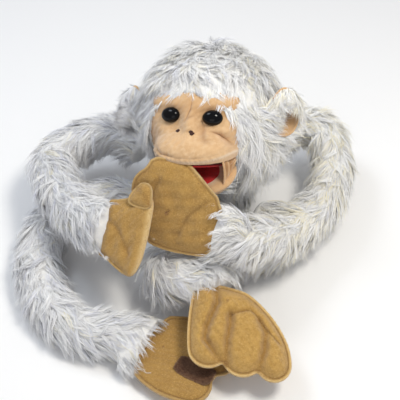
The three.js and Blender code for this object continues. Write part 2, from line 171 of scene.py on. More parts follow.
# ---- meshes ----
def make_mesh(name, points, faces, materials, slots=None, smooth=True, marks=None):
    """Points are in millimetres, and faces all have the same number of corners."""
    mesh = bpy.data.meshes.new(name)
    faces = np.asarray(faces, np.int32)
    count, corners = faces.shape
    mesh.vertices.add(len(points))
    mesh.vertices.foreach_set("co", (np.asarray(points, float) * MM).astype(np.float32).ravel())
    mesh.loops.add(count * corners)
    mesh.loops.foreach_set("vertex_index", faces.ravel())
    mesh.polygons.add(count)
    mesh.polygons.foreach_set("loop_start", np.arange(count, dtype=np.int32) * corners)
    for material in materials:
        mesh.materials.append(material)
    if slots is not None:
        mesh.polygons.foreach_set("material_index", np.asarray(slots, np.int32))
    mesh.polygons.foreach_set("use_smooth", np.full(count, smooth))
    for attribute, values in (marks or {}).items():
        made = mesh.attributes.new(attribute, "FLOAT", "POINT")
        made.data.foreach_set("value", np.clip(values, 0, 1).astype(np.float32).ravel())
    mesh.update(calc_edges=True)
    mesh.validate()
    return add_to_scene(name, mesh)


def thicken(thing, thickness, offset=-1):
    thick = thing.modifiers.new("thick", "SOLIDIFY")
    thick.thickness, thick.offset = thickness, offset


DOWN = np.array([[0, 0, -1.0]])
SIDES = (("right", -1), ("left", 1))


def unit(v):
    return v / np.maximum(np.linalg.norm(v, axis=-1, keepdims=True), 1e-9)


def laid(flow, normals):
    """The flow's direction laid flat on the surface."""
    return unit(flow - normals * (flow * normals).sum(1, keepdims=True))


def turns(count):
    return np.linspace(0, 2 * np.pi, count, endpoint=False)


def lengths(line):
    """How far along a line each of its points lies."""
    return np.concatenate([[0], np.cumsum(np.linalg.norm(np.diff(line, axis=0), axis=1))])


def triangles(quads):
    return np.vstack([quads[:, [0, 1, 2]], quads[:, [0, 2, 3]]])


def grid_faces(rows, columns, closed=False):
    """Quads of a grid whose points run row by row. A closed grid joins its last column to its first."""
    row, column = np.meshgrid(np.arange(rows - 1), np.arange(columns if closed else columns - 1), indexing="ij")
    across = (column + 1) % columns
    return np.stack([row * columns + column, row * columns + across, (row + 1) * columns + across,
                     (row + 1) * columns + column], -1).reshape(-1, 4)


def smooth_noise(points, size, seed):
    """A soft random value in about -1 to 1 at each point, changing over the given size in millimetres."""
    rng = np.random.default_rng(seed)
    value = np.zeros(len(points))
    for k in range(9):
        wave = rng.normal(size=3) / size * (1 + 0.25 * k)
        value += np.sin(points @ wave * 2.2 + rng.uniform(0, 6.28)) / 3
    return value


def drift(points, size, *seeds):
    """Soft random offsets: one seed for each axis, and none for an axis that has no seed."""
    return np.stack([smooth_noise(points, size, s) for s in seeds] + [0 * points[:, 0]] * (3 - len(seeds)), 1)


# ---- fur ----
PIECE_TRIANGLES = 190000


def lay_fur(name, roots, normals, flow, *, length=26, width=0.5, lift=0.5, droop=0.25, clump=11, gather=0.8,
            curl=0.5, segments=4, seed=1, even_tones=False, materials=FUR):
    """Locks of tapering hairs. Each hair follows the lock that it grows nearest to and closes in on it at its tip."""
    rng = np.random.default_rng(seed)
    count = len(roots)
    length = np.broadcast_to(np.asarray(length, float), (count,))
    guides = rng.choice(count, max(2, count // clump), replace=False)
    tree = KDTree(len(guides))
    for k, g in enumerate(guides):
        tree.insert(Vector(roots[g]), k)
    tree.balance()
    nearest = np.array([tree.find(Vector(p))[1] for p in roots])
    g_normal, g_flow = normals[guides], flow[guides]
    side = unit(np.cross(g_normal, g_flow))
    g_count = len(guides)
    lean = lift * rng.uniform(0.55, 1.5, g_count)[:, None]
    sway = rng.normal(0, 0.32, g_count)[:, None]
    heading = unit(g_flow + side * sway + g_normal * lean)
    bend = rng.normal(0, curl, (g_count, 1))
    wave = rng.uniform(0, 6.28, (g_count, 1))
    steps = np.zeros((g_count, segments + 1, 3))
    fall = droop * rng.uniform(0.6, 1.5, (g_count, 1))
    for k in range(1, segments + 1):
        t = k / segments
        turn = side * (bend * t * 1.2 + 0.35 * curl * np.sin(wave + 5 * t))
        down = DOWN * fall * t * 1.6
        flat = -g_normal * lean * t * 0.75
        steps[:, k] = steps[:, k - 1] + unit(heading + turn + down + flat) / segments
    own_length = length * rng.uniform(0.72, 1.12, count)
    t = np.linspace(0, 1, segments + 1)[None, :, None]
    path = roots[:, None, :] + steps[nearest] * own_length[:, None, None]
    closing = roots[guides][nearest] - roots
    reach = np.minimum(1, 9 / np.maximum(np.linalg.norm(closing, axis=1, keepdims=True), 1e-6))
    path = path + (closing * reach * gather)[:, None, :] * t ** 1.4
    path = path + (rng.normal(0, 0.055, (count, 1, 3)) * own_length[:, None, None]) * t ** 1.3
    path[..., 2] = np.maximum(path[..., 2], 0.4 + 0.5 * rng.random((count, 1)))
    along = unit(np.diff(path, axis=1, append=path[:, -1:] * 2 - path[:, -2:-1]))
    facing = unit(normals + rng.normal(0, 0.5, (count, 3)))
    across = unit(np.cross(along, facing[:, None, :]))
    taper = np.array([0.9, 1.0, 0.85, 0.6, 0.4, 0.3])[:segments]
    half = 0.5 * width * rng.uniform(0.7, 1.35, count)[:, None, None] * taper[None, :, None]
    left, right = path[:, :-1] - across[:, :-1] * half, path[:, :-1] + across[:, :-1] * half
    points = np.concatenate([np.stack([left, right], 2).reshape(count, -1, 3), path[:, -1:]], 1)
    per = 2 * segments + 1
    local = []
    for k in range(segments - 1):
        a = 2 * k
        local += [(a, a + 1, a + 3), (a, a + 3, a + 2)]
    local.append((2 * segments - 2, 2 * segments - 1, 2 * segments))
    local = np.array(local)
    mix = np.full((g_count, 6), 1 / 6) if even_tones else blend_tones(roots[guides])
    tone_of_lock = np.array([rng.choice(6, p=p / p.sum()) for p in mix])
    tones = np.where(rng.random(count) < 0.55, tone_of_lock[nearest], (rng.random(count) * 2).astype(int))
    made = []
    most = PIECE_TRIANGLES // len(local)
    for part, start in enumerate(range(0, count, most)):
        stop = min(count, start + most)
        shift = (np.arange(stop - start) * per)[:, None, None]
        faces = (local[None] + shift).reshape(-1, 3)
        slots = np.repeat(tones[start:stop], len(local))
        label = name if part == 0 else f"{name}_{part + 1}"
        thing = make_mesh(label, points[start:stop].reshape(-1, 3), faces, materials, slots)
        made.append(thing)
    return made


def blend_tones(points):
    """The mix of tones at each point: cool at low X, warm at high X."""
    x = points[:, 0:1]
    warm = np.clip((x - 20) / 90, 0, 1)
    cool = np.clip((-x - 10) / 90, 0, 1)
    return COOL * cool + WARM * warm + MIDDLE * (1 - cool - warm)


UNDERFUR = cloth("under_fur", [(0.78, 0.78, 0.77), (0.68, 0.68, 0.69), (0.82, 0.81, 0.77)], 60, 0.5)
DENSITY = 0.50

# ---- limbs ----
ARM, LEG = 21, 22
LIMBS = {
    ("left", "arm"): (ARM, 4, [(76, 28, 62), (112, 66, 74), (152, 58, 72), (163, 8, 60), (142, -54, 56),
                               (100, -102, 64), (50, -138, 92), (24, -146, 112), (10, -147, 117)], (-0.55, -0.8, 0)),
    ("right", "arm"): (ARM, 3, [(-76, 26, 64), (-112, 52, 74), (-160, 44, 68), (-192, 14, 66), (-180, -42, 78),
                                (-148, -96, 94), (-126, -122, 105), (-107, -141, 116)], (-0.3, -0.95, 0)),
    ("left", "leg"): (LEG, 4, [(62, -42, 24), (88, -62, 24), (76, -94, 24), (30, -110, 25), (-22, -116, 32),
                               (-48, -140, 42), (-34, -162, 54), (4, -164, 62), (10, -180, 62)], (-0.3, -0.95, 0)),
    ("right", "leg"): (LEG, 4, [(-74, -30, 24), (-120, -12, 24), (-176, -30, 24), (-200, -92, 24), (-188, -160, 24),
                                (-148, -208, 24), (-88, -223, 24), (-72, -231, 20)], (0.41, -0.91, 0)),
}
# Where each limb meets its hand or foot: the wide and the thin direction of the cuff, and how far it flattens.
CUFFS = {
    ("left", "arm"): ((0.15, 0.456, 0.876), (0.274, 0.832, -0.48), 1.45, 0.62, 14),
    ("right", "arm"): ((0.208, 0.669, 0.713), (-0.377, -0.617, 0.689), 1.40, 0.62, 14),
    ("left", "leg"): ((1, 0, 0), (0, 0.24, -0.97), 1.15, 0.7, 16),
    ("right", "leg"): ((-0.46, -0.88, 0), (0, 0, 1), 1.75, 0.72, 18),
}


def curve_points(line, per=14):
    p = np.array(line, float)
    p = np.vstack([2 * p[0] - p[1], p, 2 * p[-1] - p[-2]])
    out = []
    for k in range(1, len(p) - 2):
        for t in np.arange(per) / per:
            out.append(0.5 * (2 * p[k] + (p[k + 1] - p[k - 1]) * t
                              + (2 * p[k - 1] - 5 * p[k] + 4 * p[k + 1] - p[k + 2]) * t * t
                              + (3 * p[k] - p[k - 1] - 3 * p[k + 1] + p[k + 2]) * t ** 3))
    out.append(p[-2])
    return np.array(out)


def limb_frames(line):
    path = curve_points(line)
    tangent = unit(np.gradient(path, axis=0))
    normal = np.zeros_like(path)
    normal[0] = unit(np.cross(tangent[0], (0, 0, 1.0)))
    for k in range(1, len(path)):
        n = normal[k - 1] - tangent[k] * (normal[k - 1] @ tangent[k])
        normal[k] = n / np.linalg.norm(n)
    return path, tangent, normal, np.cross(tangent, normal)


def make_limb(side, kind):
    radius, joint, line, split = LIMBS[side, kind]
    wide, thin, grow, shrink, run = CUFFS[side, kind]
    path, tangent, normal, other = limb_frames(line)
    rows, columns = len(path), 40
    angle = turns(columns)
    ring = (np.cos(angle)[None, :, None] * normal[:, None] + np.sin(angle)[None, :, None] * other[:, None])
    travelled = lengths(path)
    total = travelled[-1]
    size = np.full(rows, float(radius))
    size[travelled < 9] *= np.sqrt(np.clip(1 - ((9 - travelled[travelled < 9]) / 9.5) ** 2, 0.01, 1))
    offset = ring * size[:, None, None]
    near = np.clip(1 - (total - travelled) / 45, 0, 1)[:, None, None] ** 1.5
    for direction, scale in ((unit(np.array(wide, float)), grow), (unit(np.array(thin, float)), shrink)):
        part = (offset @ direction)[..., None] * direction
        offset = offset + part * (scale - 1) * near
    surface = path[:, None] + offset
    surface = surface + unit(offset) * (1.1 * smooth_noise(surface.reshape(-1, 3), 22, 5).reshape(rows, columns, 1))
    surface[..., 2] = np.maximum(surface[..., 2], 0.4)
    ends = np.stack([path[0] - tangent[0] * 2, path[-1] + tangent[-1] * 6])
    points = np.vstack([surface.reshape(-1, 3), ends])
    around = np.arange(columns)
    after = (around + 1) % columns
    base = (rows - 1) * columns
    start = np.stack([np.full(columns, rows * columns), after, around], 1)
    end = np.stack([np.full(columns, rows * columns + 1), base + around, base + after], 1)
    tris = np.vstack([triangles(grid_faces(rows, columns, True)), start, end])
    upper, lower = {"arm": ("upper_arm", "forearm"), "leg": ("thigh", "shin")}[kind]
    skin = make_mesh(f"{side}_{kind}_cloth", points, tris, [UNDERFUR])
    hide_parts(f"{side}_{upper}_sleeve", f"{side}_{upper}_filling", f"{side}_{lower}_sleeve",
                f"{side}_{lower}_filling")
    # Hair roots, spread evenly over the sleeve.
    step = np.linalg.norm(np.diff(path, axis=0), axis=1)
    area = 2 * np.pi * radius * total
    count = int(area * DENSITY)
    rng = np.random.default_rng(len(line) * 7 + radius + (side == "left"))
    row = rng.choice(rows - 1, count, p=step / step.sum())
    a, b = rng.random(count), rng.random(count) * columns
    column = b.astype(int)
    b -= column
    after = (column + 1) % columns
    top = surface[row, column] * (1 - b[:, None]) + surface[row, after] * b[:, None]
    low = surface[row + 1, column] * (1 - b[:, None]) + surface[row + 1, after] * b[:, None]
    roots = top * (1 - a[:, None]) + low * a[:, None]
    centre = path[row] * (1 - a[:, None]) + path[row + 1] * a[:, None]
    out = unit(roots - centre)
    way = tangent[row]
    flow = way + 0.55 * (DOWN - out * (DOWN * out).sum(1, keepdims=True))
    flow = laid(flow + 0.45 * unit(np.cross(way, out)) * smooth_noise(roots, 38, 9)[:, None], out)
    left = total - (travelled[row] + a * step[row])
    length = np.where(left < 26, 17 + 0.45 * left, 29.5) * (1 + 0.18 * smooth_noise(roots, 30, 3))
    hair = lay_fur(f"{side}_{kind}_fur", roots, out, flow, length=length, lift=0.50, droop=0.30,
                   seed=len(line) + radius + 31 * (side == "left"))
    split = np.array(split, float)
    split = split / np.linalg.norm(split) * 0.016
    for thing in [skin, *hair]:
        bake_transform(thing)


# ---- head ----
HEAD_AXES = np.array([(0.9563, -0.2304, 0.1800), (-0.2924, -0.7536, 0.5888), (0.0, 0.6157, 0.7880)])
HEAD_CENTRE = np.array((6.0, -6.0, 160.0))
HEAD_SIZE = np.array((77.0, 76.0, 77.0))
NECK_WAY = np.array((-0.291, -0.746, -0.600))


def from_head(points):
    """Points given as left, forward and up of the head's own middle."""
    return HEAD_CENTRE + np.asarray(points, float) @ HEAD_AXES


def hump(x, u, at, size):
    """A soft round bump of height 1."""
    return np.exp(-((x - at[0]) / size[0]) ** 2 - ((u - at[1]) / size[1]) ** 2)


def crease(x, u, line, width):
    """1 along a line of points on the face, falling away beside it and fading at its ends."""
    best = np.full(np.shape(x), 1e9)
    fade = np.ones(np.shape(x))
    line = np.array(line, float)
    done = lengths(line)
    runs = np.diff(done)
    for k in range(len(line) - 1):
        d = line[k + 1] - line[k]
        t = np.clip(((x - line[k, 0]) * d[0] + (u - line[k, 1]) * d[1]) / (d @ d), 0, 1)
        gap = np.hypot(x - line[k, 0] - d[0] * t, u - line[k, 1] - d[1] * t)
        share = (done[k] + runs[k] * t) / done[-1]
        closer = gap < best
        best = np.where(closer, gap, best)
        fade = np.where(closer, np.sin(np.pi * np.clip(share, 0.06, 0.94)) ** 0.5, fade)
    return np.exp(-(best / width) ** 2) * fade


FACE_BLOBS = [((0, 0, 0), (75, 74, 75)), ((0, 45, 2), (45, 26, 36)), ((0, 52, -35), (45, 43, 26)),
              ((0, 62, -8), (12, 20, 24)), ((27, 56, -9), (17, 15, 15)), ((-27, 56, -9), (17, 15, 15)),
              ((22, 54, 18), (22, 12, 9)), ((-22, 54, 18), (22, 12, 9)), ((21, 60, -33), (21, 30, 17)),
              ((-21, 60, -33), (21, 30, 17))]


MELT = 2.6  # how far the face's masses run into each other, in millimetres


def face_distance(*place):
    """Signed distance from the melted masses of the face: left, forward and up of the head's middle."""
    total = 0
    for centre, size in FACE_BLOBS:
        q = np.sqrt(sum(((p - c) / r) ** 2 for p, c, r in zip(place, centre, size)))
        total = total + np.exp(-(q - 1) * min(size) / MELT)
    return -MELT * np.log(np.maximum(total, 1e-300))


def lip_height(x):
    return -44.5 + 10.5 * np.clip(np.abs(x) / 46, 0, 1) ** 2.4


def face_relief(x, u):
    """Folds and puckers pulled into the face by the soft sculpting, in millimetres outwards."""
    relief = -3.0 * hump(x, u, (-24, 5), (14, 9)) - 3.0 * hump(x, u, (24, 4), (14, 9))
    relief += 1.6 * hump(x, u, (-23, -13), (12, 6)) + 1.5 * hump(x, u, (23, -13), (12, 6))
    relief += 0.5 * hump(x, u, (-21, 15), (13, 4)) + 0.7 * hump(x, u, (22, 13), (14, 4))
    relief -= 1.5 * crease(x, u, FROWN, 1.1) + 0.6 * crease(x, u, FROWN_SIDE, 1.7)
    relief += 1.6 * hump(x, u, (0, -7), (9, 8))
    relief += 0.9 * hump(x, u, (-9, 14), (7, 7)) + 0.9 * hump(x, u, (9, 13), (7, 7))
    relief -= 4.2 * crease(x, u, CHEEK_FOLD, 2.1) - 2.6 * crease(x, u, CHEEK_ROLL, 4.0)
    relief -= 3.4 * crease(x, u, NOSE_SIDE, 4.0) - 2.4 * hump(x, u, (21, -14), (6, 6))
    relief -= 2.2 * crease(x, u, LIP_FOLD, 2.2)
    rough = 0.5 + 0.35 * np.sin(x * 1.15) + 0.2 * np.sin(x * 2.9 + 1)
    relief += rough * np.exp(-((u - lip_height(x) - 1.8) / 1.5) ** 2)
    relief -= 0.35 * np.exp(-((u - lip_height(x) - 4.6) / 1.2) ** 2)
    return relief


FROWN = [(1, 21), (0.5, 12), (-2, 5), (-4.5, -2)]
FROWN_SIDE = [(-7, -1), (0, 3), (6, 5)]
CHEEK_FOLD = [(22, -12.5), (31, -15), (38, -21), (43, -27)]
CHEEK_ROLL = [(27, -7), (36, -10), (43, -16)]
NOSE_SIDE = [(12.5, -2), (14.5, -15), (18.5, -21.5), (25, -22.5)]
LIP_FOLD = [(-38, -29), (-30, -36), (-16, -38)]


def make_face():
    columns, rows, under = 260, 190, 10
    angle = np.linspace(-math.radians(98), math.radians(98), columns)
    low = lip_height(46 * np.sin(np.clip(angle * 1.15, -1.57, 1.57)))
    share = np.linspace(0, 1, rows)[:, None] ** 1.15
    up = low[None] + (40 - low[None]) * share
    axis = 12.0
    reach = np.linspace(20, 118, 99)
    away = np.broadcast_to(angle[None], up.shape)
    field = np.stack([face_distance(r * np.sin(away), axis + r * np.cos(away), up) for r in reach])
    inside = field < 0
    last = len(reach) - 1 - np.argmax(inside[::-1], 0)
    last = np.clip(last, 0, len(reach) - 2)
    here = np.take_along_axis(field, last[None], 0)[0]
    after = np.take_along_axis(field, last[None] + 1, 0)[0]
    radius = reach[last] + (reach[1] - reach[0]) * here / (here - after)
    x = radius * np.sin(away)
    uneven = smooth_noise(np.stack([x, up, x * 0], -1).reshape(-1, 3), 11, 4).reshape(up.shape)
    radius = radius + face_relief(x, up) + 0.35 * uneven
    # The lip turns under and runs back towards the palate.
    turn = np.linspace(0, 1, under + 1)[1:, None]
    under_radius = radius[0][None] - 2.6 * (1 - np.cos(turn * 2.2)) - 7 * np.clip(turn - 0.5, 0, 1)
    under_up = up[0][None] - 2.2 * np.sin(turn * 2.6) + 2.2 * turn
    radius = np.vstack([under_radius[::-1], radius])
    up = np.vstack([under_up[::-1], up])
    away = np.broadcast_to(angle[None], up.shape)
    x = radius * np.sin(away)
    points = np.stack([x, axis + radius * np.cos(away), up], -1).reshape(-1, 3)
    gx, gu = x.ravel(), up.ravel()
    # Painted shade along the sewn creases of the face and over the brows.
    fold = np.maximum.reduce([0.9 * crease(gx, gu, FROWN, 1.0), 0.9 * crease(gx, gu, CHEEK_FOLD, 1.4),
                              0.5 * crease(gx, gu, FROWN_SIDE, 1.6), 0.5 * crease(gx, gu, LIP_FOLD, 1.5),
                              0.55 * crease(gx, gu, NOSE_SIDE, 3.5), 0.45 * hump(gx, gu, (-22, 14), (13, 3.5)),
                              0.5 * hump(gx, gu, (23, 12.5), (14, 3.5))])
    # Painted shade in the eye sockets and between the brows, and a darker tone towards the temples.
    socket = np.maximum(hump(gx, gu, (-24, 8), (15, 7)), hump(gx, gu, (24, 8), (15, 7)))
    temple = np.clip((np.abs(gx) - 36) / 12, 0, 1)
    warm = np.clip(0.75 * socket + 0.5 * hump(gx, gu, (0, 14), (16, 12)) + 0.45 * temple, 0, 1)
    seam = np.exp(-((gu - lip_height(gx) - 0.5) / 1.4) ** 2)
    face = make_mesh("face_velour", from_head(points), grid_faces(rows + under, columns)[:, ::-1], [VELOUR],
                     marks={"fold": fold, "warm": warm, "seam": seam})
    thicken(face, 0.0012)
    finish_piece([face], "head", ("face_panel", "face_padding"))


# Of the velour's marks, fold is painted shade in creases and pleats, warm is a deeper tone that also lays painted shade
# in the eye sockets and the ear's hollow, and seam is the paler edge of the lip.
VELOUR = cloth("velour", [(0.66, 0.42, 0.215), (0.60, 0.365, 0.175), (0.71, 0.48, 0.265)], 55, 0.3, 0.82, 0.4,
               [("warm", (0.50, 0.28, 0.12)), ("fold", (0.26, 0.12, 0.045)), ("seam", (0.74, 0.56, 0.38))], 1500)
RED_FELT = cloth("red_felt", [(0.52, 0.008, 0.010), (0.42, 0.006, 0.008), (0.60, 0.014, 0.016)], 160, 0.9, 0.95, 0.3)


def make_head():
    make_face()
    # Fur cloth of the head, open at the face and the neck.
    rows, columns = 60, 96
    polar = np.linspace(0.02, np.pi - 0.02, rows)[:, None]
    turn = turns(columns)[None]
    ball = np.stack([np.sin(polar) * np.cos(turn), np.sin(polar) * np.sin(turn), np.cos(polar) + 0 * turn], -1)
    points = (ball * HEAD_SIZE).reshape(-1, 3)
    faces = grid_faces(rows, columns, True)
    middle = points[faces].mean(1)
    keep = ~in_face(middle, 0.97) & ~in_neck(middle)
    skin = make_mesh("head_cloth", from_head(points), faces[keep], [UNDERFUR])
    thicken(skin, 0.0014, 0)
    finish_piece([skin], "head", ("head_cover", "head_foam"))
    # Roots all over it, with the hair running from the crown to the face and down.
    rng = np.random.default_rng(5)
    count = int(4 * np.pi * 77 ** 2 * DENSITY)
    way = unit(rng.normal(size=(count, 3)))
    roots = way * HEAD_SIZE
    kept = ~in_face(roots, 1.0) & ~in_neck(roots)
    roots, way = roots[kept], way[kept]
    crown = np.array((0.0, -0.55, 0.85))
    down = np.array((0.0, -0.62, -0.79))  # straight down, as the tilted head sees it
    side = np.sign(roots[:, 0])[:, None] * np.array([[1.0, 0, 0]])
    low = np.clip((10 - roots[:, 2:3]) / 40, 0, 1)
    cheek = np.clip((np.abs(roots[:, 0:1]) - 25) / 30, 0, 1) * (roots[:, 1:2] > -20) * low
    beside = np.clip((roots[:, 1:2] - 5) / 20, 0, 1) * np.clip((26 - roots[:, 2:3]) / 14, 0, 1)
    above = np.clip((roots[:, 1:2] - 25) / 20, 0, 1) * np.clip((roots[:, 2:3] - 14) / 10, 0, 1)
    flow = way - crown + 0.5 * down + cheek * (0.8 * side + 0.9 * down + np.array((0, 0, -0.7)))
    flow = flow + beside * (1.5 * side + np.array((0, -0.8, -0.1)))
    parting = np.clip((roots[:, 0:1] + 12) / 16, -1, 1)
    flow = flow * (1 - 0.6 * above) + above * (np.array((0.8, 0, 0)) * parting + np.array((0, 0.35, -0.35)))
    flow = laid(flow + 0.45 * drift(roots, 26, 21, 22, 23), way)
    length = 26 + (13 + 14 * (roots[:, 0] > 0)) * cheek[:, 0] + 3 * smooth_noise(roots, 24, 8)
    length = np.where(above[:, 0] > 0.4, 17 + 3 * smooth_noise(roots, 12, 6), length)
    world = way @ HEAD_AXES
    top = world @ np.array((0, 0.743, 0.669)) > 0.45
    upright = 33 + 5 * smooth_noise(roots, 30, 9) - 16 * np.clip(world[:, 2] - 0.82, 0, 1) / 0.18
    grown = np.where(top, upright, length)
    for part, name, lift, droop, seed in [(~top, "head_fur", 0.42, 0.32, 3), (top, "crown_fur", 1.05, 0.1, 4)]:
        ride_all(lay_fur(name, from_head(roots[part]), world[part], (flow @ HEAD_AXES)[part], length=grown[part],
                         lift=lift, droop=droop, curl=0.6, seed=seed), "head")


def make_mane():
    """Long wavy hair that hangs from the sides of the head over the shoulders."""
    rng = np.random.default_rng(15)
    count = 9000
    way = unit(rng.normal(size=(count * 6, 3)))
    roots = way * HEAD_SIZE
    kept = (np.abs(roots[:, 0]) > 38) & (roots[:, 2] < 6) & (roots[:, 1] > -40) & (roots[:, 1] < 56)
    kept &= ~in_face(roots, 1.04) & ~in_neck(roots)
    roots, way = roots[kept][:count], way[kept][:count]
    world = way @ HEAD_AXES
    hang = np.array([[0.0, -0.25, -0.9]]) + np.sign(roots[:, :1]) * np.array([[0.55, 0, 0]])
    flow = laid(hang + 0.35 * drift(roots, 22, 24, 25), world)
    length = np.where(roots[:, 0] > 0, 56, 38) * (1 + 0.12 * smooth_noise(roots, 20, 26))
    ride_all(lay_fur("mane_fur", from_head(roots), world, flow, length=length, lift=0.38, droop=0.3, clump=26,
                     gather=0.85, curl=0.8, segments=5, seed=16), "head")


def in_face(p, size):
    reach = np.where(p[:, 0] < 0, 58.0, 46.0)
    return (p[:, 1] > 8) & ((np.abs(p[:, 0]) / (reach * size)) ** 2 + ((p[:, 2] + 22) / (53 * size)) ** 2 < 1)


def in_neck(p):
    return unit(p) @ NECK_WAY > 0.90


# The domed eye: radius and height of its profile, from the middle of the dome round the rim to the back.
EYE_PROFILE = [(0.0, 6.4), (2.6, 6.2), (5.0, 5.6), (7.2, 4.5), (8.8, 3.1), (9.8, 1.5), (10.2, 0.2), (10.1, -0.9),
               (9.6, -1.6), (8.4, -1.9), (0.0, -2.0)]
EYE_YAW, EYE_PITCH = 0.22, 0.10  # radians


def turned(x, y, angle):
    c, s = math.cos(angle), math.sin(angle)
    return x * c + y * s, y * c - x * s


def make_eyes():
    gloss = plain("eye_black", (0.002, 0.002, 0.0025), 0.06)
    fine = curve_points([(a, b, 0) for a, b in EYE_PROFILE], 5)[:, :2]
    fine[:, 0] = np.maximum(fine[:, 0], 0)
    turn = turns(64)
    points = np.stack([fine[:, :1] * np.cos(turn), fine[:, 1:] + 0 * turn, fine[:, :1] * np.sin(turn)], -1)
    for name, side in SIDES:
        x, y, z = (points.reshape(-1, 3) * (1.10, 1.05, 0.84)).T
        x, y = turned(x, y, side * EYE_YAW)
        z, y = turned(z, y, EYE_PITCH)
        place = np.array((24 * side, 73.0, 4.0 - 1.2 * side))
        eye = make_mesh(f"{name}_eye_dome", from_head(np.stack([x, y, z], 1) + place),
                        grid_faces(len(fine), 64, True), [gloss])
        finish_piece([eye], "head", (f"{name}_eye",))


def face_forward(x, u):
    """How far forward the face's surface lies at each place."""
    x, u = np.broadcast_arrays(np.asarray(x, float), np.asarray(u, float))
    reach = np.linspace(30, 115, 171)
    field = np.stack([face_distance(x, f + 0 * x, u) for f in reach])
    last = len(reach) - 1 - np.argmax((field < 0)[::-1], 0)
    return reach[last] + face_relief(x, u)


# ---- stitches, loops and flat patterns ----
THREAD = plain("thread_brown", (0.045, 0.012, 0.006), 0.7, 0.2)
TAN_THREAD = plain("thread_tan", (0.36, 0.20, 0.06), 0.75, 0.2)


def bars(name, starts, ends, outward, material, *, size=0.45, arch=0.5, slot="brown_thread"):
    """Short lengths of thread that arch a little out of the cloth, one from each start to each end."""
    rings, sides = 5, 6
    t = np.linspace(0, 1, rings)[None, :, None]
    line = starts[:, None] * (1 - t) + ends[:, None] * t + outward[:, None] * arch * np.sin(np.pi * t)
    along = unit(ends - starts)[:, None]
    across = unit(np.cross(along, outward[:, None]))
    up = unit(np.cross(across, along))
    turn = turns(sides)[None, None, :, None]
    thick = size * np.array([0.45, 0.9, 1.0, 0.9, 0.45])[None, :, None, None]
    ring = line[:, :, None] + thick * (np.cos(turn) * across[:, :, None] + np.sin(turn) * up[:, :, None])
    faces = grid_faces(rings, sides, True)
    shift = (np.arange(len(starts)) * rings * sides)[:, None, None]
    thing = make_mesh(name, ring.reshape(-1, 3), (faces[None] + shift).reshape(-1, 4), [material])
    return thing


def stitch_row(name, path, outward, material, *, pitch=3.4, part=0.62, **more):
    """A row of running stitches along a path of points."""
    path = np.asarray(path, float)
    done = lengths(path)
    at = np.arange(0.6, done[-1] - pitch, pitch)

    def along(distance, values):
        return np.stack([np.interp(distance, done, values[:, k]) for k in range(3)], 1)

    outward = np.broadcast_to(np.asarray(outward, float), path.shape)
    return bars(name, along(at, path), along(at + pitch * part, path), unit(along(at, outward)), material, **more)


def rounded(corners, cuts=2):
    """An outline with its corners cut back again and again until it is smooth."""
    loop = np.asarray(corners, float)
    for _ in range(cuts):
        after = np.roll(loop, -1, 0)
        loop = np.stack([loop * 0.75 + after * 0.25, loop * 0.25 + after * 0.75], 1).reshape(-1, 2)
    return loop


def even(loop, step):
    """The closed outline with evenly spaced points."""
    closed = np.vstack([loop, loop[:1]])
    done = lengths(closed)
    at = np.linspace(0, done[-1], int(done[-1] / step), endpoint=False)
    return np.stack([np.interp(at, done, closed[:, k]) for k in range(2)], 1)


def gap_to(points, line, closed=False):
    """Distance of flat points from a line of points."""
    line = np.asarray(line, float)
    starts, ends = (line, np.roll(line, -1, 0)) if closed else (line[:-1], line[1:])
    best = np.full(len(points), 1e9)
    for a, b in zip(starts, ends):
        d = b - a
        t = np.clip((points - a) @ d / max(d @ d, 1e-9), 0, 1)
        best = np.minimum(best, np.linalg.norm(points - a - t[:, None] * d, axis=1))
    return best


def dip(flat, line, width):
    """1 on a line of points, falling away beside it."""
    return np.exp(-(gap_to(flat, line) / width) ** 2)


def ripple(flat, size, seed):
    return smooth_noise(np.column_stack([flat, 0 * flat[:, 0]]), size, seed)


def inside(points, loop):
    found = np.zeros(len(points), bool)
    for a, b in zip(loop, np.roll(loop, -1, 0)):
        spans = (a[1] > points[:, 1]) != (b[1] > points[:, 1])
        meets = a[0] + (points[:, 1] - a[1]) / (b[1] - a[1] + 1e-12) * (b[0] - a[0])
        found ^= spans & (points[:, 0] < meets)
    return found


def flat_pattern(corners, step=1.5, cuts=2):
    """Triangles that fill an outline, finest along its seam: points, triangles and distance from the edge."""
    loop = even(rounded(corners, cuts), step)
    if ((loop - np.roll(loop, 1, 0)) * (np.roll(loop, 1, 0)[:, ::-1] * (1, -1))).sum() < 0:
        loop = loop[::-1]
    sets = [loop]
    turn = unit(np.roll(loop, -1, 0) - np.roll(loop, 1, 0))[:, ::-1] * (1, -1)
    for inset in (0.9, 1.8, 2.7, 3.6, 4.6):
        for way in (-1, 1):
            ring = loop + way * inset * turn
            sets.append(ring[inside(ring, loop) & (gap_to(ring, loop, True) > inset * 0.93)])
    low, high = loop.min(0), loop.max(0)
    gx, gy = np.meshgrid(np.arange(low[0], high[0], step * 1.1), np.arange(low[1], high[1], step), indexing="ij")
    gx = gx + (np.arange(gx.shape[1]) % 2)[None] * step * 0.55
    grid = np.stack([gx.ravel(), gy.ravel()], 1)
    grid = grid[inside(grid, loop)]
    sets.append(grid[gap_to(grid, loop, True) > 5.4])
    flat = np.vstack(sets)
    count = len(loop)
    border = [(k, (k + 1) % count) for k in range(count)]
    made = delaunay_2d_cdt([Vector(p) for p in flat], border, [], 1, 1e-5)
    points = np.array([tuple(v) for v in made[0]])
    tris = np.array(made[2])
    a, b, c = points[tris[:, 0]], points[tris[:, 1]], points[tris[:, 2]]
    turned = (b[:, 0] - a[:, 0]) * (c[:, 1] - a[:, 1]) - (b[:, 1] - a[:, 1]) * (c[:, 0] - a[:, 0]) < 0
    tris[turned] = tris[turned][:, ::-1]
    return points, tris, gap_to(points, loop, True)


def plane_of(origin, x, y):
    x = unit(np.array(x, float))
    z = unit(np.cross(x, y))
    return np.array(origin, float), np.array([x, np.cross(z, x), z])


def on_plane(plane, local):
    return plane[0] + local @ plane[1]


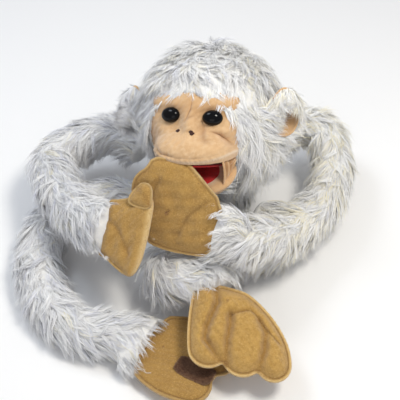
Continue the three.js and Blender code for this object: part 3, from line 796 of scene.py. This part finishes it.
def felt_piece(name, corners, place, top, bottom, marks, material, *, step=1.5, cuts=2):
    """A flat or stuffed piece cut to an outline: a top and a bottom surface that meet in a raw edge."""
    flat, tris, edge = flat_pattern(corners, step, cuts)
    upper = np.column_stack([flat, top(flat, edge)])
    lower = np.column_stack([flat, bottom(flat, edge)])
    count = len(flat)
    pairs = np.vstack([tris[:, [0, 1]], tris[:, [1, 2]], tris[:, [2, 0]]])
    keys = pairs.min(1) * count + pairs.max(1)
    _, which, times = np.unique(keys, return_index=True, return_counts=True)
    rim = pairs[which[times == 1]]
    a, b = rim[:, 0], rim[:, 1]
    sides = np.vstack([np.stack([a, a + count, b + count], 1), np.stack([a, b + count, b], 1)])
    faces = np.vstack([tris, tris[:, ::-1] + count, sides])
    points = place(np.vstack([upper, lower]))
    values = marks(flat, edge) if marks else {}
    thing = make_mesh(name, points, faces, [material], marks={key: np.tile(values[key], 2) for key in values})
    return thing, points, faces


def scatter(points, faces, per_mm2, seed):
    """Random places on a surface of triangles, with the outward direction at each."""
    rng = np.random.default_rng(seed)
    a, b, c = points[faces[:, 0]], points[faces[:, 1]], points[faces[:, 2]]
    cross = np.cross(b - a, c - a)
    area = np.linalg.norm(cross, axis=1) / 2
    count = int(area.sum() * per_mm2)
    pick = rng.choice(len(faces), count, p=area / area.sum())
    u, v = rng.random(count), rng.random(count)
    over = u + v > 1
    u[over], v[over] = 1 - u[over], 1 - v[over]
    return a[pick] + (b - a)[pick] * u[:, None] + (c - a)[pick] * v[:, None], unit(cross)[pick]


FELT_TONES = [(0.60, 0.37, 0.105), (0.54, 0.325, 0.085), (0.46, 0.265, 0.065), (0.66, 0.43, 0.15), (0.72, 0.50, 0.21),
              (0.36, 0.20, 0.05)]
# One of the felt's marks is painted shade: it darkens the felt in creases and along seams, and over the mitts and the
# sole-up foot.
FELT = cloth("felt", [(0.50, 0.29, 0.070), (0.40, 0.22, 0.046), (0.57, 0.35, 0.10)], 95, 0.9, 0.95, 0.35,
             [("raw", (0.74, 0.54, 0.25)), ("painted_shade", (0.24, 0.12, 0.028)), ("stain", (0.15, 0.045, 0.015)),
              ("pale", (0.78, 0.72, 0.58))], 1300)
NAP = [plain(f"felt_nap_{k + 1}", tone, 0.9, 0.3) for k, tone in enumerate(FELT_TONES)]
NAP_DENSITY = 1.1


def felt_nap(name, points, faces, seed, materials=NAP, length=1.7, share=1.0):
    """The short loose fibres on felt, lying every way."""
    roots, normals = scatter(points, faces, NAP_DENSITY * share, seed)
    flow = laid(np.random.default_rng(seed).normal(size=roots.shape), normals)
    return lay_fur(name, roots, normals, flow, length=length, width=0.17, lift=0.9, droop=0.0, clump=2, gather=0.15,
                   curl=0.9, segments=2, seed=seed, even_tones=True, materials=materials)


def ride_all(things, body):
    for thing in things:
        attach(thing, body)


def finish_piece(things, body, nodes=()):
    """The pieces stand for the CAD nodes, which are hidden; all of them ride on the body."""
    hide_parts(*nodes)
    ride_all(things, body)


# ---- hands ----
def swell(edge, seam, height, run):
    """Height of a stuffed surface: flat in the seam allowance, pinched at the seam, then rising."""
    rise = np.clip((edge - seam) / run, 0, None)
    return 1.15 - 0.45 * np.exp(-((edge - seam) / 0.9) ** 2) + height * (1 - np.exp(-rise)) ** 1.1 * (edge > seam)


def speck(flat, at, size):
    return np.exp(-(((flat - np.array(at)) ** 2).sum(1) / size ** 2) ** 2)


def make_left_hand():
    plane = plane_of((1.2, -146.5, 121.4), (-0.95, 0.313, 0), (0.15, 0.456, 0.876))
    corners = [(-13, 33), (12, 53), (35, 69), (56, 68), (74, 64), (78, 52), (86, 45), (91, 35), (91, 21), (80, -4),
               (66, -30), (62, -35), (40, -38), (12, -36), (-8, -33), (-14, 0)]
    folds = [[(4, 30), (22, 10), (30, -14)], [(60, 44), (66, 24), (62, 4)], [(82, 30), (74, 12), (72, -8)]]

    def front(flat, edge):
        z = swell(edge, 3.2, 3.6, 9) + 1.1 * ripple(flat, 17, 31) * np.clip(edge / 12, 0, 1)
        for line, depth in zip(folds, (1.2, 1.5, 1.1)):
            z = z - depth * dip(flat, line, 3.0)
        return bend(flat) - z

    def bend(flat):
        return 0.008 * np.clip(flat[:, 1] - 40, 0, None) ** 2

    def rear(flat, edge):
        return bend(flat) + swell(edge, 3.2, 1.6, 9)

    def marks(flat, edge):
        # Painted shade: in the three folds, along the seam, over the whole mitten and most towards its lower left.
        shade = sum(0.45 * dip(flat, line, 2.2) for line in folds)
        shade = shade + 0.26 + 0.3 * dip(flat, [(84, 20), (76, -8), (60, -24)], 16)
        stain = speck(flat, (46, 8), 2.4) + speck(flat, (44, 11), 1.6)
        return {"raw": 0.85 * np.exp(-(edge / 1.9) ** 2), "painted_shade": shade + 0.6 * np.exp(-((edge - 3.2) / 0.7) ** 2),
                "stain": stain, "pale": speck(flat, (65, -23), 1.3) + speck(flat, (57, -27), 1.0)}

    piece, points, faces = felt_piece("left_mitten", corners, lambda p: on_plane(plane, p), rear, front, marks, FELT,
                                      cuts=1)
    loop = even(rounded(corners, 1), 1.5)
    inner = [p for p in loop - 3.3 * unit(loop - loop.mean(0)) if p[0] > 6 and p[1] < 50]
    path = on_plane(plane, np.column_stack([np.array(inner), np.full(len(inner), -1.5)]))
    thread = stitch_row("left_mitten_stitches", path, -plane[1][2], TAN_THREAD, size=0.3, slot="tan_felt")
    finish_piece([piece, thread, *felt_nap("left_mitten_nap", points, faces, 41)], "left_hand",
                 ("left_hand_back", "left_hand_palm"))


def make_right_hand():
    plane = plane_of((-105.5, -143.5, 116.8), (0.902, -0.412, 0.124), (0.208, 0.669, 0.713))
    corners = [(-10, -31), (2, -32), (16, -40), (33, -46), (40, -43), (45, -28), (47, -6), (47, 20), (46, 40), (40, 48),
               (22, 41), (4, 34), (-10, 31)]
    palm_line = [(-4, 12), (14, 2), (30, -20)]

    def bulge(flat, edge):
        fold = np.clip((flat[:, 0] - 26) / 10, 0, 1)
        round_edge = 7.2 * np.sqrt(np.clip(1 - (1 - np.clip(edge, 0, 7.2) / 7.2) ** 2, 0, 1))
        seamed = swell(edge, 3.0, 5.8, 5)
        return round_edge * fold + seamed * (1 - fold)

    def front(flat, edge):
        wave = 0.9 * ripple(flat, 15, 33) * np.clip(edge / 10, 0, 1)
        return bulge(flat, edge) + wave - 1.6 * dip(flat, palm_line, 3.4)

    def marks(flat, edge):
        # Painted shade over all of the mitten but its folded tip, and in the palm crease.
        fold = np.clip((flat[:, 0] - 36) / 8, 0, 1) * np.exp(-(edge / 4.5) ** 2)
        return {"raw": np.clip(0.7 * fold + 0.8 * np.exp(-(edge / 1.8) ** 2), 0, 1),
                "painted_shade": 0.28 * (1 - fold) + 0.4 * dip(flat, palm_line, 2.5), "stain": 0 * edge, "pale": 0 * edge}

    piece, points, faces = felt_piece("right_mitten", corners, lambda p: on_plane(plane, p), front,
                                      lambda flat, edge: -bulge(flat, edge), marks, FELT)
    thumb_plane = (on_plane(plane, np.array([[24.0, 44.0, 6.5]]))[0], plane[1])
    thumb_corners = [(-6, -10), (-5, 0), (2, 10), (6, 15), (14, 16), (20, 11), (22, 2), (23, -12), (6, -13)]
    thumb, thumb_points, thumb_faces = felt_piece(
        "right_thumb_lobe", thumb_corners, lambda p: on_plane(thumb_plane, p),
        lambda flat, edge: swell(edge, 2.2, 3.6, 4), lambda flat, edge: -swell(edge, 2.2, 1.4, 4), marks, FELT)
    nap = felt_nap("right_mitten_nap", points, faces, 43) + felt_nap("right_thumb_nap", thumb_points, thumb_faces, 44)
    finish_piece([piece, thumb, *nap], "right_hand", ("right_hand_back", "right_hand_palm"))


# ---- feet ----
TOES = [(-11, 61, 23), (26, 71, 23), (59, 81, 19)]


def foot_corners(flare):
    """Cuff, the side of the thumb lobe, three round toe lobes, and the other side. Flare spreads the cuff."""
    corners = [(-24 - 7 * flare, -16 + 8 * flare), (-30 - 10 * flare, 4 + 9 * flare), (-34 - 10 * flare, 38)]
    for (x, y, r), start, stop in zip(TOES, (172, 155, 150), (52, 52, -8)):
        shift = 6 * flare if x < 0 else 0
        for angle in np.radians(np.linspace(start, stop, 7)):
            corners.append((x - shift + r * math.cos(angle), y + r * math.sin(angle)))
    return corners + [(76, 62), (69, 44), (57 + 3 * flare, 24), (39 + 16 * flare, 4 + 6 * flare),
                      (25 + 21 * flare, -5 - 3 * flare)]


THUMB_LINE = [(-2, -4), (-1, 12), (-13, 41), (-15, 55), (-4, 70), (8, 81)]
TOE_LINES = [[(13, 27), (13, 37), (9, 57), (8, 81)], [(45, 34), (51, 48), (49, 67), (42, 88)]]
TOE_BAND = [(13, 27), (35, 21), (45, 32), (55, 48), (65, 59)]


def make_foot(side, plane, mirror, flare, patch_at, sole_up):
    flip = np.array([-1.0, 1, 1]) if mirror else np.array([1.0, 1, 1])
    corners = foot_corners(flare)

    def place(local):
        return on_plane(plane, local * flip)

    def upper(flat, edge):
        z = swell(edge, 3.4, 12.4, 7.5)
        for line, depth, width in [(THUMB_LINE, 0.72, 4.2), (TOE_LINES[0], 0.62, 4.2), (TOE_LINES[1], 0.62, 4.2),
                                   (TOE_BAND, 0.25, 2.0)]:
            z = z * (1 - depth * dip(flat, line, width))
        return -(z + 0.8 * ripple(flat, 15, 51 if mirror else 52) * np.clip((edge - 4) / 10, 0, 1))

    def sole(flat, edge):
        plump = (0.7 * ripple(flat, 24, 53) + 0.8) * np.clip((edge - 4) / 9, 0, 1)
        return 2.5 + plump - 0.8 * np.exp(-((edge - 3.4) / 0.9) ** 2)

    def marks(flat, edge):
        # Painted shade in the creases between the toes, beside the thumb lobe and along the topstitched band, at the
        # seam, and over the whole of the sole-up foot.
        crease_shade = sum(0.5 * dip(flat, line, 2.6) for line in (THUMB_LINE, *TOE_LINES))
        crease_shade = 1.2 * (crease_shade + 0.6 * dip(flat, TOE_BAND, 1.0))
        return {"raw": (0.5 if sole_up else 0.85) * np.exp(-(edge / 2.4) ** 2),
                "painted_shade": (0.38 if sole_up else crease_shade) + 0.55 * np.exp(-((edge - 3.4) / 0.8) ** 2),
                "stain": speck(flat, (10, 12), 1.2), "pale": 0 * edge}

    piece, points, faces = felt_piece(f"{side}_foot_felt", corners, place, sole, upper, marks, FELT)
    if mirror:
        piece.data.flip_normals()
    things = [piece]
    loop = even(rounded(corners), 1.5)
    centre = np.array([[20.0, 45.0]])
    inner = loop[loop[:, 1] > 6]
    inner = inner - 3.5 * unit(inner - centre)
    outward = plane[1][2] * (1 if sole_up else -1)
    path = place(np.column_stack([inner, np.full(len(inner), 2.9 if sole_up else -1.7)]))
    things.append(stitch_row(f"{side}_foot_stitches", path, outward, TAN_THREAD, size=0.3, slot="tan_felt"))
    if sole_up:
        # A loose end of white thread beside the cuff.
        squiggle = curve_points([(-26, -3, 4.2), (-30, 2, 5.0), (-26, 7, 4.4), (-29, 12, 4.8), (-26, 17, 4.2)], 6)
        things.append(stitch_row(f"{side}_foot_thread", place(squiggle), outward, FUR[0], pitch=1.6, part=1.15,
                                 size=0.32, arch=0.1, slot="white_fur"))
    else:
        band = even(rounded(TOE_BAND + TOE_BAND[::-1], 1), 1.2)
        band = band[: len(band) // 2]
        z = upper(band, gap_to(band, loop, True)) - 0.3
        things.append(stitch_row(f"{side}_foot_topstitch", place(np.column_stack([band, z])), outward, TAN_THREAD,
                                 size=0.35, slot="tan_felt"))
    things += felt_nap(f"{side}_foot_nap", points, faces[:, ::-1] if mirror else faces, 45 + mirror)
    finish_piece(things, f"{side}_foot", (f"{side}_foot_upper", f"{side}_foot_sole", f"{side}_foot_filling"))
    make_patch(side, plane, flip, patch_at)


HOOK_CLOTH = cloth("hook_tape", [(0.10, 0.045, 0.022), (0.07, 0.03, 0.015), (0.17, 0.085, 0.045)], 120, 0.9, 0.9, 0.2,
                   [("raw", (0.26, 0.15, 0.08))], 1500)
HOOK_HAIR = [plain(f"hook_{k + 1}", tone, 0.6) for k, tone in enumerate(
    [(0.10, 0.045, 0.022), (0.14, 0.065, 0.035), (0.07, 0.03, 0.015), (0.20, 0.11, 0.06), (0.25, 0.15, 0.09),
     (0.05, 0.02, 0.01)])]


def make_patch(side, plane, flip, at):
    """The hook-tape rectangle sewn to the sole, its ends lifted and its corners worn."""
    corners = [(-11, -22), (0, -23), (12, -21), (11, 0), (12, 21), (2, 23), (-11, 21), (-12, 2)]

    def height(flat, edge):
        curl = 2.2 * np.clip((np.abs(flat[:, 1]) - 10) / 12, 0, 1) ** 2
        return 4.4 + curl + 0.3 * ripple(flat, 9, 61)

    def place(local):
        return on_plane(plane, (local + (at[0], at[1], 0)) * flip)

    piece, points, faces = felt_piece(f"{side}_hook_tape", corners, place, height,
                                      lambda flat, edge: height(flat, edge) - 1.3,
                                      lambda flat, edge: {"raw": 0.8 * np.exp(-(edge / 1.0) ** 2)}, HOOK_CLOTH,
                                      step=1.2, cuts=1)
    if flip[0] < 0:
        piece.data.flip_normals()
        faces = faces[:, ::-1]
    hooks = felt_nap(f"{side}_hooks", points, faces, 62, HOOK_HAIR, 1.4, 2.2)
    finish_piece([piece, *hooks], f"{side}_foot", (f"{side}_foot_fastener",))


# ---- torso and neck ----
TORSO = [(0.0, 1.0), (0.0, 44.0), (4.0, 51.5), (14.0, 57.0), (38.0, 60.0), (64.0, 52.0), (92.0, 43.0)]
OPENING = (38.0, 26.0, 42.0)


def torso_radius(z):
    line = curve_points([(r, h, 0) for h, r in TORSO[1:]], 8)
    return np.interp(z, line[:, 1], line[:, 0])


def torso_point(z, angle):
    r = torso_radius(z)
    return np.stack([r * np.cos(angle), 0.84 * r * np.sin(angle) + 0.17 * z, z + 0 * angle], -1)


def make_torso():
    rows, columns = 70, 150
    z = np.linspace(0, 92, rows)[:, None] + np.zeros((1, columns))
    angle = turns(columns)[None] + 0 * z
    points = torso_point(z, angle).reshape(-1, 3)
    points[:, 2] = np.maximum(points[:, 2], 0.5)
    faces = grid_faces(rows, columns, True)
    middle = points[faces].mean(1)
    width, height, level = OPENING
    hole = (middle[:, 1] > 0) & ((middle[:, 0] / width) ** 2 + ((middle[:, 2] - level) / height) ** 2 < 1)
    around = np.arange(columns)
    seat = np.stack([np.full(columns, len(points)), (around + 1) % columns, around], 1)
    tris = np.vstack([triangles(faces[~hole]), seat])
    points = np.vstack([points, (0, 0, 0.5)])
    skin = make_mesh("torso_cloth", points, tris, [UNDERFUR])
    thicken(skin, 0.0016)
    roots, normals = scatter(points, tris[:-columns], DENSITY, 71)
    beside = (roots[:, 0] / (width + 3)) ** 2 + ((roots[:, 2] - level) / (height + 3)) ** 2
    keep = (roots[:, 1] < 0) | (beside > 1)
    roots, normals = roots[keep], normals[keep]
    flow = laid(DOWN + 0.5 * drift(roots, 30, 72, 73), normals)
    length = 25 + 3 * smooth_noise(roots, 24, 74)
    length = np.where(roots[:, 2] < 16, 13, length)
    hair = lay_fur("torso_fur", roots, normals, flow, length=length, lift=0.45, droop=0.3, seed=75)
    finish_piece([skin, *hair], "torso", ("torso_cover",))
    # The turned hem of the hand opening.
    turn = turns(120)
    x, up = width * np.cos(turn), level + height * np.sin(turn)
    y = 0.84 * np.sqrt(torso_radius(up) ** 2 - x ** 2) + 0.17 * up
    line = np.stack([x, y + 0.6, up], 1)
    hem = ring_tube("opening_hem", line, 3.0, 14, LINING)
    thread = stitch_row("opening_hem_stitches", np.vstack([line, line[:1]]) + np.array((0, 3.1, 0)), (0, 1, 0),
                        TAN_THREAD, pitch=4, size=0.35, slot="brown_thread")
    finish_piece([hem, thread], "torso", ("hand_opening_hem",))


def ring_tube(name, line, radius, sides, material):
    """A soft tube along a closed line, a little uneven as a turned hem is."""
    tangent = unit(np.roll(line, -1, 0) - np.roll(line, 1, 0))
    middle = line.mean(0)
    out = laid(unit(line - middle), tangent)
    other = np.cross(tangent, out)
    turn = turns(sides)[None, :, None]
    size = radius * (1 + 0.10 * smooth_noise(line, 6, 81))
    ring = line[:, None] + size[:, None, None] * (np.cos(turn) * out[:, None] + np.sin(turn) * other[:, None])
    faces = grid_faces(len(line) + 1, sides, True) % (len(line) * sides)
    return make_mesh(name, ring.reshape(-1, 3), faces, [material])


LINING = cloth("lining", [(0.60, 0.58, 0.54), (0.50, 0.48, 0.45), (0.68, 0.66, 0.62)], 140, 0.7, 0.9, 0.2)
CARD = cloth("card", [(0.36, 0.27, 0.17), (0.30, 0.22, 0.13), (0.42, 0.33, 0.22)], 80, 0.4, 0.85, 0.0)


def soft_copy(node, name, body, material):
    """A hidden soft piece: the CAD solid's shape with its edges softened and cloth over it."""
    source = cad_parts[node]
    thing = bpy.data.objects.new(name, source.data.copy())
    bpy.context.scene.collection.objects.link(thing)
    thing.matrix_world = source.matrix_world.copy()
    thing.data.materials.clear()
    thing.data.materials.append(material)
    weave = thing.modifiers.new("weave", "REMESH")
    weave.mode, weave.voxel_size = "VOXEL", 0.0011
    soften = thing.modifiers.new("soften", "SMOOTH")
    soften.factor, soften.iterations = 0.5, 3
    finish_piece([thing], body, (node,))


def make_neck():
    """Fur cloth round the neck, between the torso and the head."""
    way = unit(NECK_WAY[None] @ HEAD_AXES)[0]
    side = unit(np.cross(way, (0, 1.0, 0)))
    other = np.cross(way, side)
    turn = turns(90)[:, None]
    rows = [(36, 81.5), (40, 80.8), (43.5, 81.5), (44, 83.2), (43, 85), (39, 85.4), (36, 85), (36, 81.5)]
    points = np.stack([HEAD_CENTRE + way * reach + radius * (np.cos(turn) * side + np.sin(turn) * other)
                       for radius, reach in rows])
    faces = grid_faces(len(rows), 90, True)
    band = make_mesh("neck_cloth", points.reshape(-1, 3), faces, [UNDERFUR])
    roots, _ = scatter(points.reshape(-1, 3), triangles(faces), DENSITY * 1.4, 83)
    out = roots - HEAD_CENTRE
    out = out - way * (out @ way)[:, None]
    reach = np.linalg.norm(out, axis=1)
    roots, out = roots[reach > 41], unit(out)[reach > 41]
    hair = lay_fur("neck_fur", roots, out, unit(DOWN + out * out[:, 2:3]), length=24, lift=0.5, droop=0.3, seed=84)
    finish_piece([band, *hair], "neck", ("neck_band",))


# ---- mouth and jaw ----
OPEN = math.radians(45)


def from_jaw(p):
    """Points given as left, forward and up of the mouth's hinge with the mouth shut, carried to the open jaw."""
    p = np.asarray(p, float)
    forward, up = turned(p[..., 1], p[..., 2], OPEN)
    return from_head(np.stack([p[..., 0], 46 + forward, -50 + up], -1))


def make_jaw():
    columns = 120
    turn = turns(columns)
    front = np.clip((np.sin(turn) + 0.35) / 0.8, 0, 1)
    rows = [(0.62, 1.1, 0.4), (0.65, 1.6, 1.2), (0.74, 1.8, 2.0), (0.85, 1.8, 2.8), (0.95, 1.8, 3.2), (1.02, 1.0, 2.8),
            (1.06, 0.6, 1.4), (1.06, 0.0, 0.2), (1.03, 0.0, -1.4)]
    shell = [np.stack([44 * share * np.cos(turn), 14 + 33 * share * np.sin(turn), base + lift * front], 1)
             for share, base, lift in rows]
    for low in np.linspace(8, 90, 18):
        share, depth = math.cos(math.radians(low)), math.sin(math.radians(low))
        shell.append(np.stack([44 * share * np.cos(turn), 14 + 33 * share * np.sin(turn),
                               np.full(columns, -1 - 21 * depth)], 1))
    shell = np.stack(shell)
    local = shell.reshape(-1, 3)
    local[:, 1] = np.maximum(local[:, 1], 2.5)
    local[:, 2] += 0.35 * smooth_noise(local, 10, 91)
    faces = grid_faces(len(shell), columns, True)[:, ::-1]
    rim = np.exp(-((np.arange(len(shell))[:, None] - 1.0) / 1.0) ** 2) + np.zeros((1, columns))
    zero = np.zeros(len(local))
    cover = make_mesh("jaw_velour", from_jaw(local), faces, [VELOUR],
                      marks={"seam": rim.ravel(), "fold": zero, "warm": zero + 0.35})
    roots, normals = scatter(local, triangles(faces), DENSITY, 92)
    keep = (roots[:, 2] < -9) & (roots[:, 1] < 34) & (normals[:, 2] < 0.2)
    roots, normals = roots[keep], normals[keep]
    lower = np.array([[0.0, -0.7, -0.5]]) + np.sign(roots[:, :1]) * np.array([[0.4, 0, 0]])
    axes = from_jaw(np.eye(3)) - from_jaw(np.zeros((3, 3)))
    hair = lay_fur("chin_fur", from_jaw(roots), normals @ axes, laid(lower, normals) @ axes, length=22, lift=0.4,
                   droop=0.4, seed=93)
    finish_piece([cover, *hair], "jaw", ("jaw_cover", "jaw_padding"))
    # Red felt on the tongue side.
    corners = [(-38, 3), (-38, 17), (-34, 29), (-22, 38), (0, 42), (22, 38), (34, 29), (38, 17), (38, 3)]

    def dish(flat, edge):
        return 1.35 + 0.3 * ripple(flat, 12, 94)

    tongue, points, faces = felt_piece("tongue_felt", corners, from_jaw, dish, lambda f, e: dish(f, e) - 1.3, None,
                                       RED_FELT)
    nap = felt_nap("tongue_nap", points, faces, 95, RED_NAP, 1.3)
    finish_piece([tongue, *nap], "jaw", ("lower_mouth_lining",))
    # Red felt palate under the upper lip.
    corners = [(-37, 0), (-37, 14), (-30, 33), (-15, 44), (0, 46), (15, 44), (30, 33), (37, 14), (37, 0)]

    def roof(flat, edge):
        return -48.4 + 2.2 * (1 - np.exp(-edge / 6)) - 1.2

    palate, points, faces = felt_piece(
        "palate_felt", corners, lambda p: from_head(p + np.array((0, 44.0, 0))), lambda f, e: roof(f, e) + 1.3, roof,
        None, RED_FELT)
    nap = felt_nap("palate_nap", points, faces, 96, RED_NAP, 1.3)
    finish_piece([palate, *nap], "head", ("upper_mouth_lining",))
    make_corner_folds()


def make_corner_folds():
    """Gathered velour that joins the lips at each corner of the mouth."""
    across, down = np.meshgrid(np.linspace(0, 1, 26), np.linspace(0, 1, 16), indexing="ij")
    for name, side in SIDES:
        high = from_head(np.stack([side * (36 + 8 * across), 80 - 34 * across, -40 + 2 * across], -1))
        low = from_jaw(np.stack([side * (36 + 8 * across), 33 - 31 * across, 3.5 + 0 * across], -1))
        points = high * (1 - down[..., None]) + low * down[..., None]
        outward = HEAD_AXES[0] * side * 0.8 + HEAD_AXES[1] * 0.6
        pleats = 2.0 * np.sin(across * 24) * np.sin(np.pi * down) ** 0.6 + 2.0 * np.sin(np.pi * down)
        points = (points + outward * pleats[..., None]).reshape(-1, 3)
        faces = grid_faces(26, 16)
        zero = np.zeros(len(points))
        # Painted shade in the troughs of the pleats.
        fold = 0.6 * (np.sin(across * 19) < -0.4) * np.sin(np.pi * down)
        web = make_mesh(f"{name}_mouth_corner", points, faces if side > 0 else faces[:, ::-1], [VELOUR],
                        marks={"fold": fold.ravel(), "warm": zero + 0.5, "seam": zero})
        thicken(web, 0.0012)
        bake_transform(web)


RED_NAP = [plain(f"red_nap_{k + 1}", tone, 0.9, 0.3) for k, tone in enumerate(
    [(0.50, 0.008, 0.010), (0.42, 0.006, 0.008), (0.58, 0.014, 0.016), (0.36, 0.004, 0.006), (0.54, 0.01, 0.01),
     (0.66, 0.03, 0.03)])]


def make_lip_stitches():
    """Whip stitches over the raw edge of the upper lip, and the two nostrils."""
    x = np.arange(-42, 43, 2.6)
    u = lip_height(x)
    f = face_forward(x, u + 1.5)
    start = from_head(np.stack([x, f + 0.4, u + 3.4], 1))
    end = from_head(np.stack([x + 0.9, f - 0.4, u - 1.6], 1))
    outward = np.broadcast_to(HEAD_AXES[1], start.shape)
    whip = bars("lip_stitches", start, end, outward, LIP_THREAD, size=0.42, arch=0.7, slot="face_velour")
    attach(whip, "head")
    for name, (middle, level), lean, count, half, spread in (("right", (-13.4, -11.7), 0.10, 4, 3.3, 0.9),
                                                             ("left", (3.6, -12.8), -0.35, 5, 3.0, 1.5)):
        step = np.linspace(-1, 1, count)
        reach = half * np.sqrt(1 - 0.6 * step ** 2)
        flat = [(middle + way * reach, level + step * spread + way * lean * reach) for way in (-1, 1)]
        start, end = (from_head(np.stack([x, face_forward(x, u) + 1.0, u], 1)) for x, u in flat)
        outward = np.broadcast_to(HEAD_AXES[1], start.shape)
        piece = bars(f"{name}_nostril_stitches", start, end, outward, THREAD, size=1.15, arch=1.0, slot="brown_thread")
        finish_piece([piece], "head", (f"{name}_nostril",))


LIP_THREAD = plain("thread_pale", (0.62, 0.45, 0.28), 0.8, 0.3)


# ---- ears ----
EAR_TURN = math.radians(32)


def make_ear(name, side):
    across = np.array((side * math.cos(EAR_TURN), -math.sin(EAR_TURN), 0.0))
    opening = np.array((side * math.sin(EAR_TURN), math.cos(EAR_TURN), 0.0))
    up = np.array((0, 0, 1.0))
    middle = np.array((side * 91.0, 8.0, 6.0))

    def place(a, n, u):
        return from_head(middle + a[..., None] * across + n[..., None] * opening + u[..., None] * up)

    turn = turns(72)[None]
    share = np.linspace(0.02, 1, 18)[:, None]
    depth = np.sqrt(np.clip(1 - share ** 2, 0, 1))
    wave = 1 + 0.05 * np.sin(3 * turn + 1) + 0.03 * np.sin(5 * turn)

    def rings(width, height, size, forward):
        return place(width * size * np.cos(turn) * wave, forward + 0 * turn, height * size * np.sin(turn) * wave)

    rolls = [(share, -6.6 * depth), (1.04, 1.4), (1.10, 2.0), (1.16, 1.4), (1.18, 0.2)]
    points = np.concatenate([rings(15.2, 23.6, *roll) for roll in rolls])
    faces = grid_faces(len(points), 72, True)
    faces = faces if side < 0 else faces[:, ::-1]
    zero = np.zeros(points.shape[0] * 72)
    # Painted shade, deepest in the hollow of the ear.
    shade = np.repeat(np.clip(1 - np.arange(len(points)) / 12, 0, 1) * 0.6, 72)
    lining = make_mesh(f"{name}_ear_velour", points.reshape(-1, 3), faces[:, ::-1], [VELOUR],
                       marks={"warm": shade + 0.3, "fold": zero, "seam": zero})
    finish_piece([lining], "head", (f"{name}_ear_lining",))
    back = rings(17.6, 26.4, share, -9.4 * depth).reshape(-1, 3)
    faces = faces[:(len(share) - 1) * 72]  # the back is a bowl with no rolled rim
    shell = make_mesh(f"{name}_ear_cloth", back, faces, [UNDERFUR])
    roots, _ = scatter(back, triangles(faces), DENSITY * 1.3, 101 + side)
    away = unit(roots - from_head(middle))
    normals = unit(away - 0.6 * opening @ HEAD_AXES)
    way = away * 0.8 + (across * 0.5 + up * 0.1) @ HEAD_AXES + np.array((0, 0, -0.5))
    hair = lay_fur(f"{name}_ear_fur", roots, normals, laid(way, normals), length=16, lift=0.35, droop=0.25,
                   seed=103 + side)
    finish_piece([shell, *hair], "head", (f"{name}_ear_back",))
    # The head's own hair laid across the ear, and the hair of its outer rim curling over the front.
    rng = np.random.default_rng(105 + side)
    # The right ear is hidden by hair, so it has more, spread more widely and all round the rim.
    share, spread, start, stop, rim_length = (1, 6.0, 20, 150, 26) if side > 0 else (3, 17.0, -80, 260, 30)
    count = 3200 * share
    spot = np.stack([side * (66 + rng.normal(0, 3.0, count)), 36 + rng.normal(0, 4.0, count),
                     3 + rng.normal(0, spread, count)], 1)
    spot = unit(spot / HEAD_SIZE) * HEAD_SIZE
    way = unit(spot)
    push = np.array((side * 1.0, 0.15, 0.05))
    flow = unit(push - way * (way @ push)[:, None])
    angle = rng.uniform(math.radians(start), math.radians(stop), count)
    rim = place(18.0 * np.cos(angle), rng.uniform(-4, 1.5, count), 27.0 * np.sin(angle))
    rim_out = unit(rim - from_head(middle)) + 0.5 * opening @ HEAD_AXES
    inward = -(rim - from_head(middle)) * 0.05 + opening @ HEAD_AXES * 0.9 - up @ HEAD_AXES * 0.5
    tuft = lay_fur(f"{name}_ear_tuft", from_head(spot), way @ HEAD_AXES, flow @ HEAD_AXES, length=36, lift=0.5,
                   droop=0.15, clump=30, gather=0.9, curl=0.3, seed=107 + side)
    tuft += lay_fur(f"{name}_ear_rim_fur", rim, unit(rim_out), unit(inward), length=rim_length, lift=0.35, droop=0.2,
                    clump=18, gather=0.7, curl=0.5, seed=109 + side)
    ride_all(tuft, "head")


def dress_hidden_pieces():
    for node in ("upper_mouth_board", "lower_mouth_board"):
        paint(node, CARD)
    washer = plain("washer_plastic", (0.03, 0.03, 0.032), 0.4, 0, 0.2)
    for node in ("left_eye_washer", "right_eye_washer"):
        paint(node, washer)
    soft_copy("finger_pocket", "finger_pocket_cloth", "head", LINING)
    soft_copy("thumb_pocket", "thumb_pocket_cloth", "jaw", LINING)


def paint(node, material):
    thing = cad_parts[node]
    for part in thing.material_slots:
        part.material = material
    if not thing.material_slots:
        thing.data.materials.append(material)


make_stage()
for limb_side in ("left", "right"):
    for limb_kind in ("arm", "leg"):
        make_limb(limb_side, limb_kind)
make_head()
make_mane()
make_eyes()
make_lip_stitches()
make_jaw()
for ear in SIDES:
    make_ear(*ear)
make_torso()
make_neck()
make_left_hand()
make_right_hand()
make_foot("left", plane_of((14, -192, 62), (1, 0, 0), (0, -0.97, -0.24)), False, 0, (22, 62), False)
make_foot("right", plane_of((-62, -236, 16.5), (-0.46, -0.88, 0), (0.88, -0.46, 0)), True, 1, (-2, 58), True)
dress_hidden_pieces()
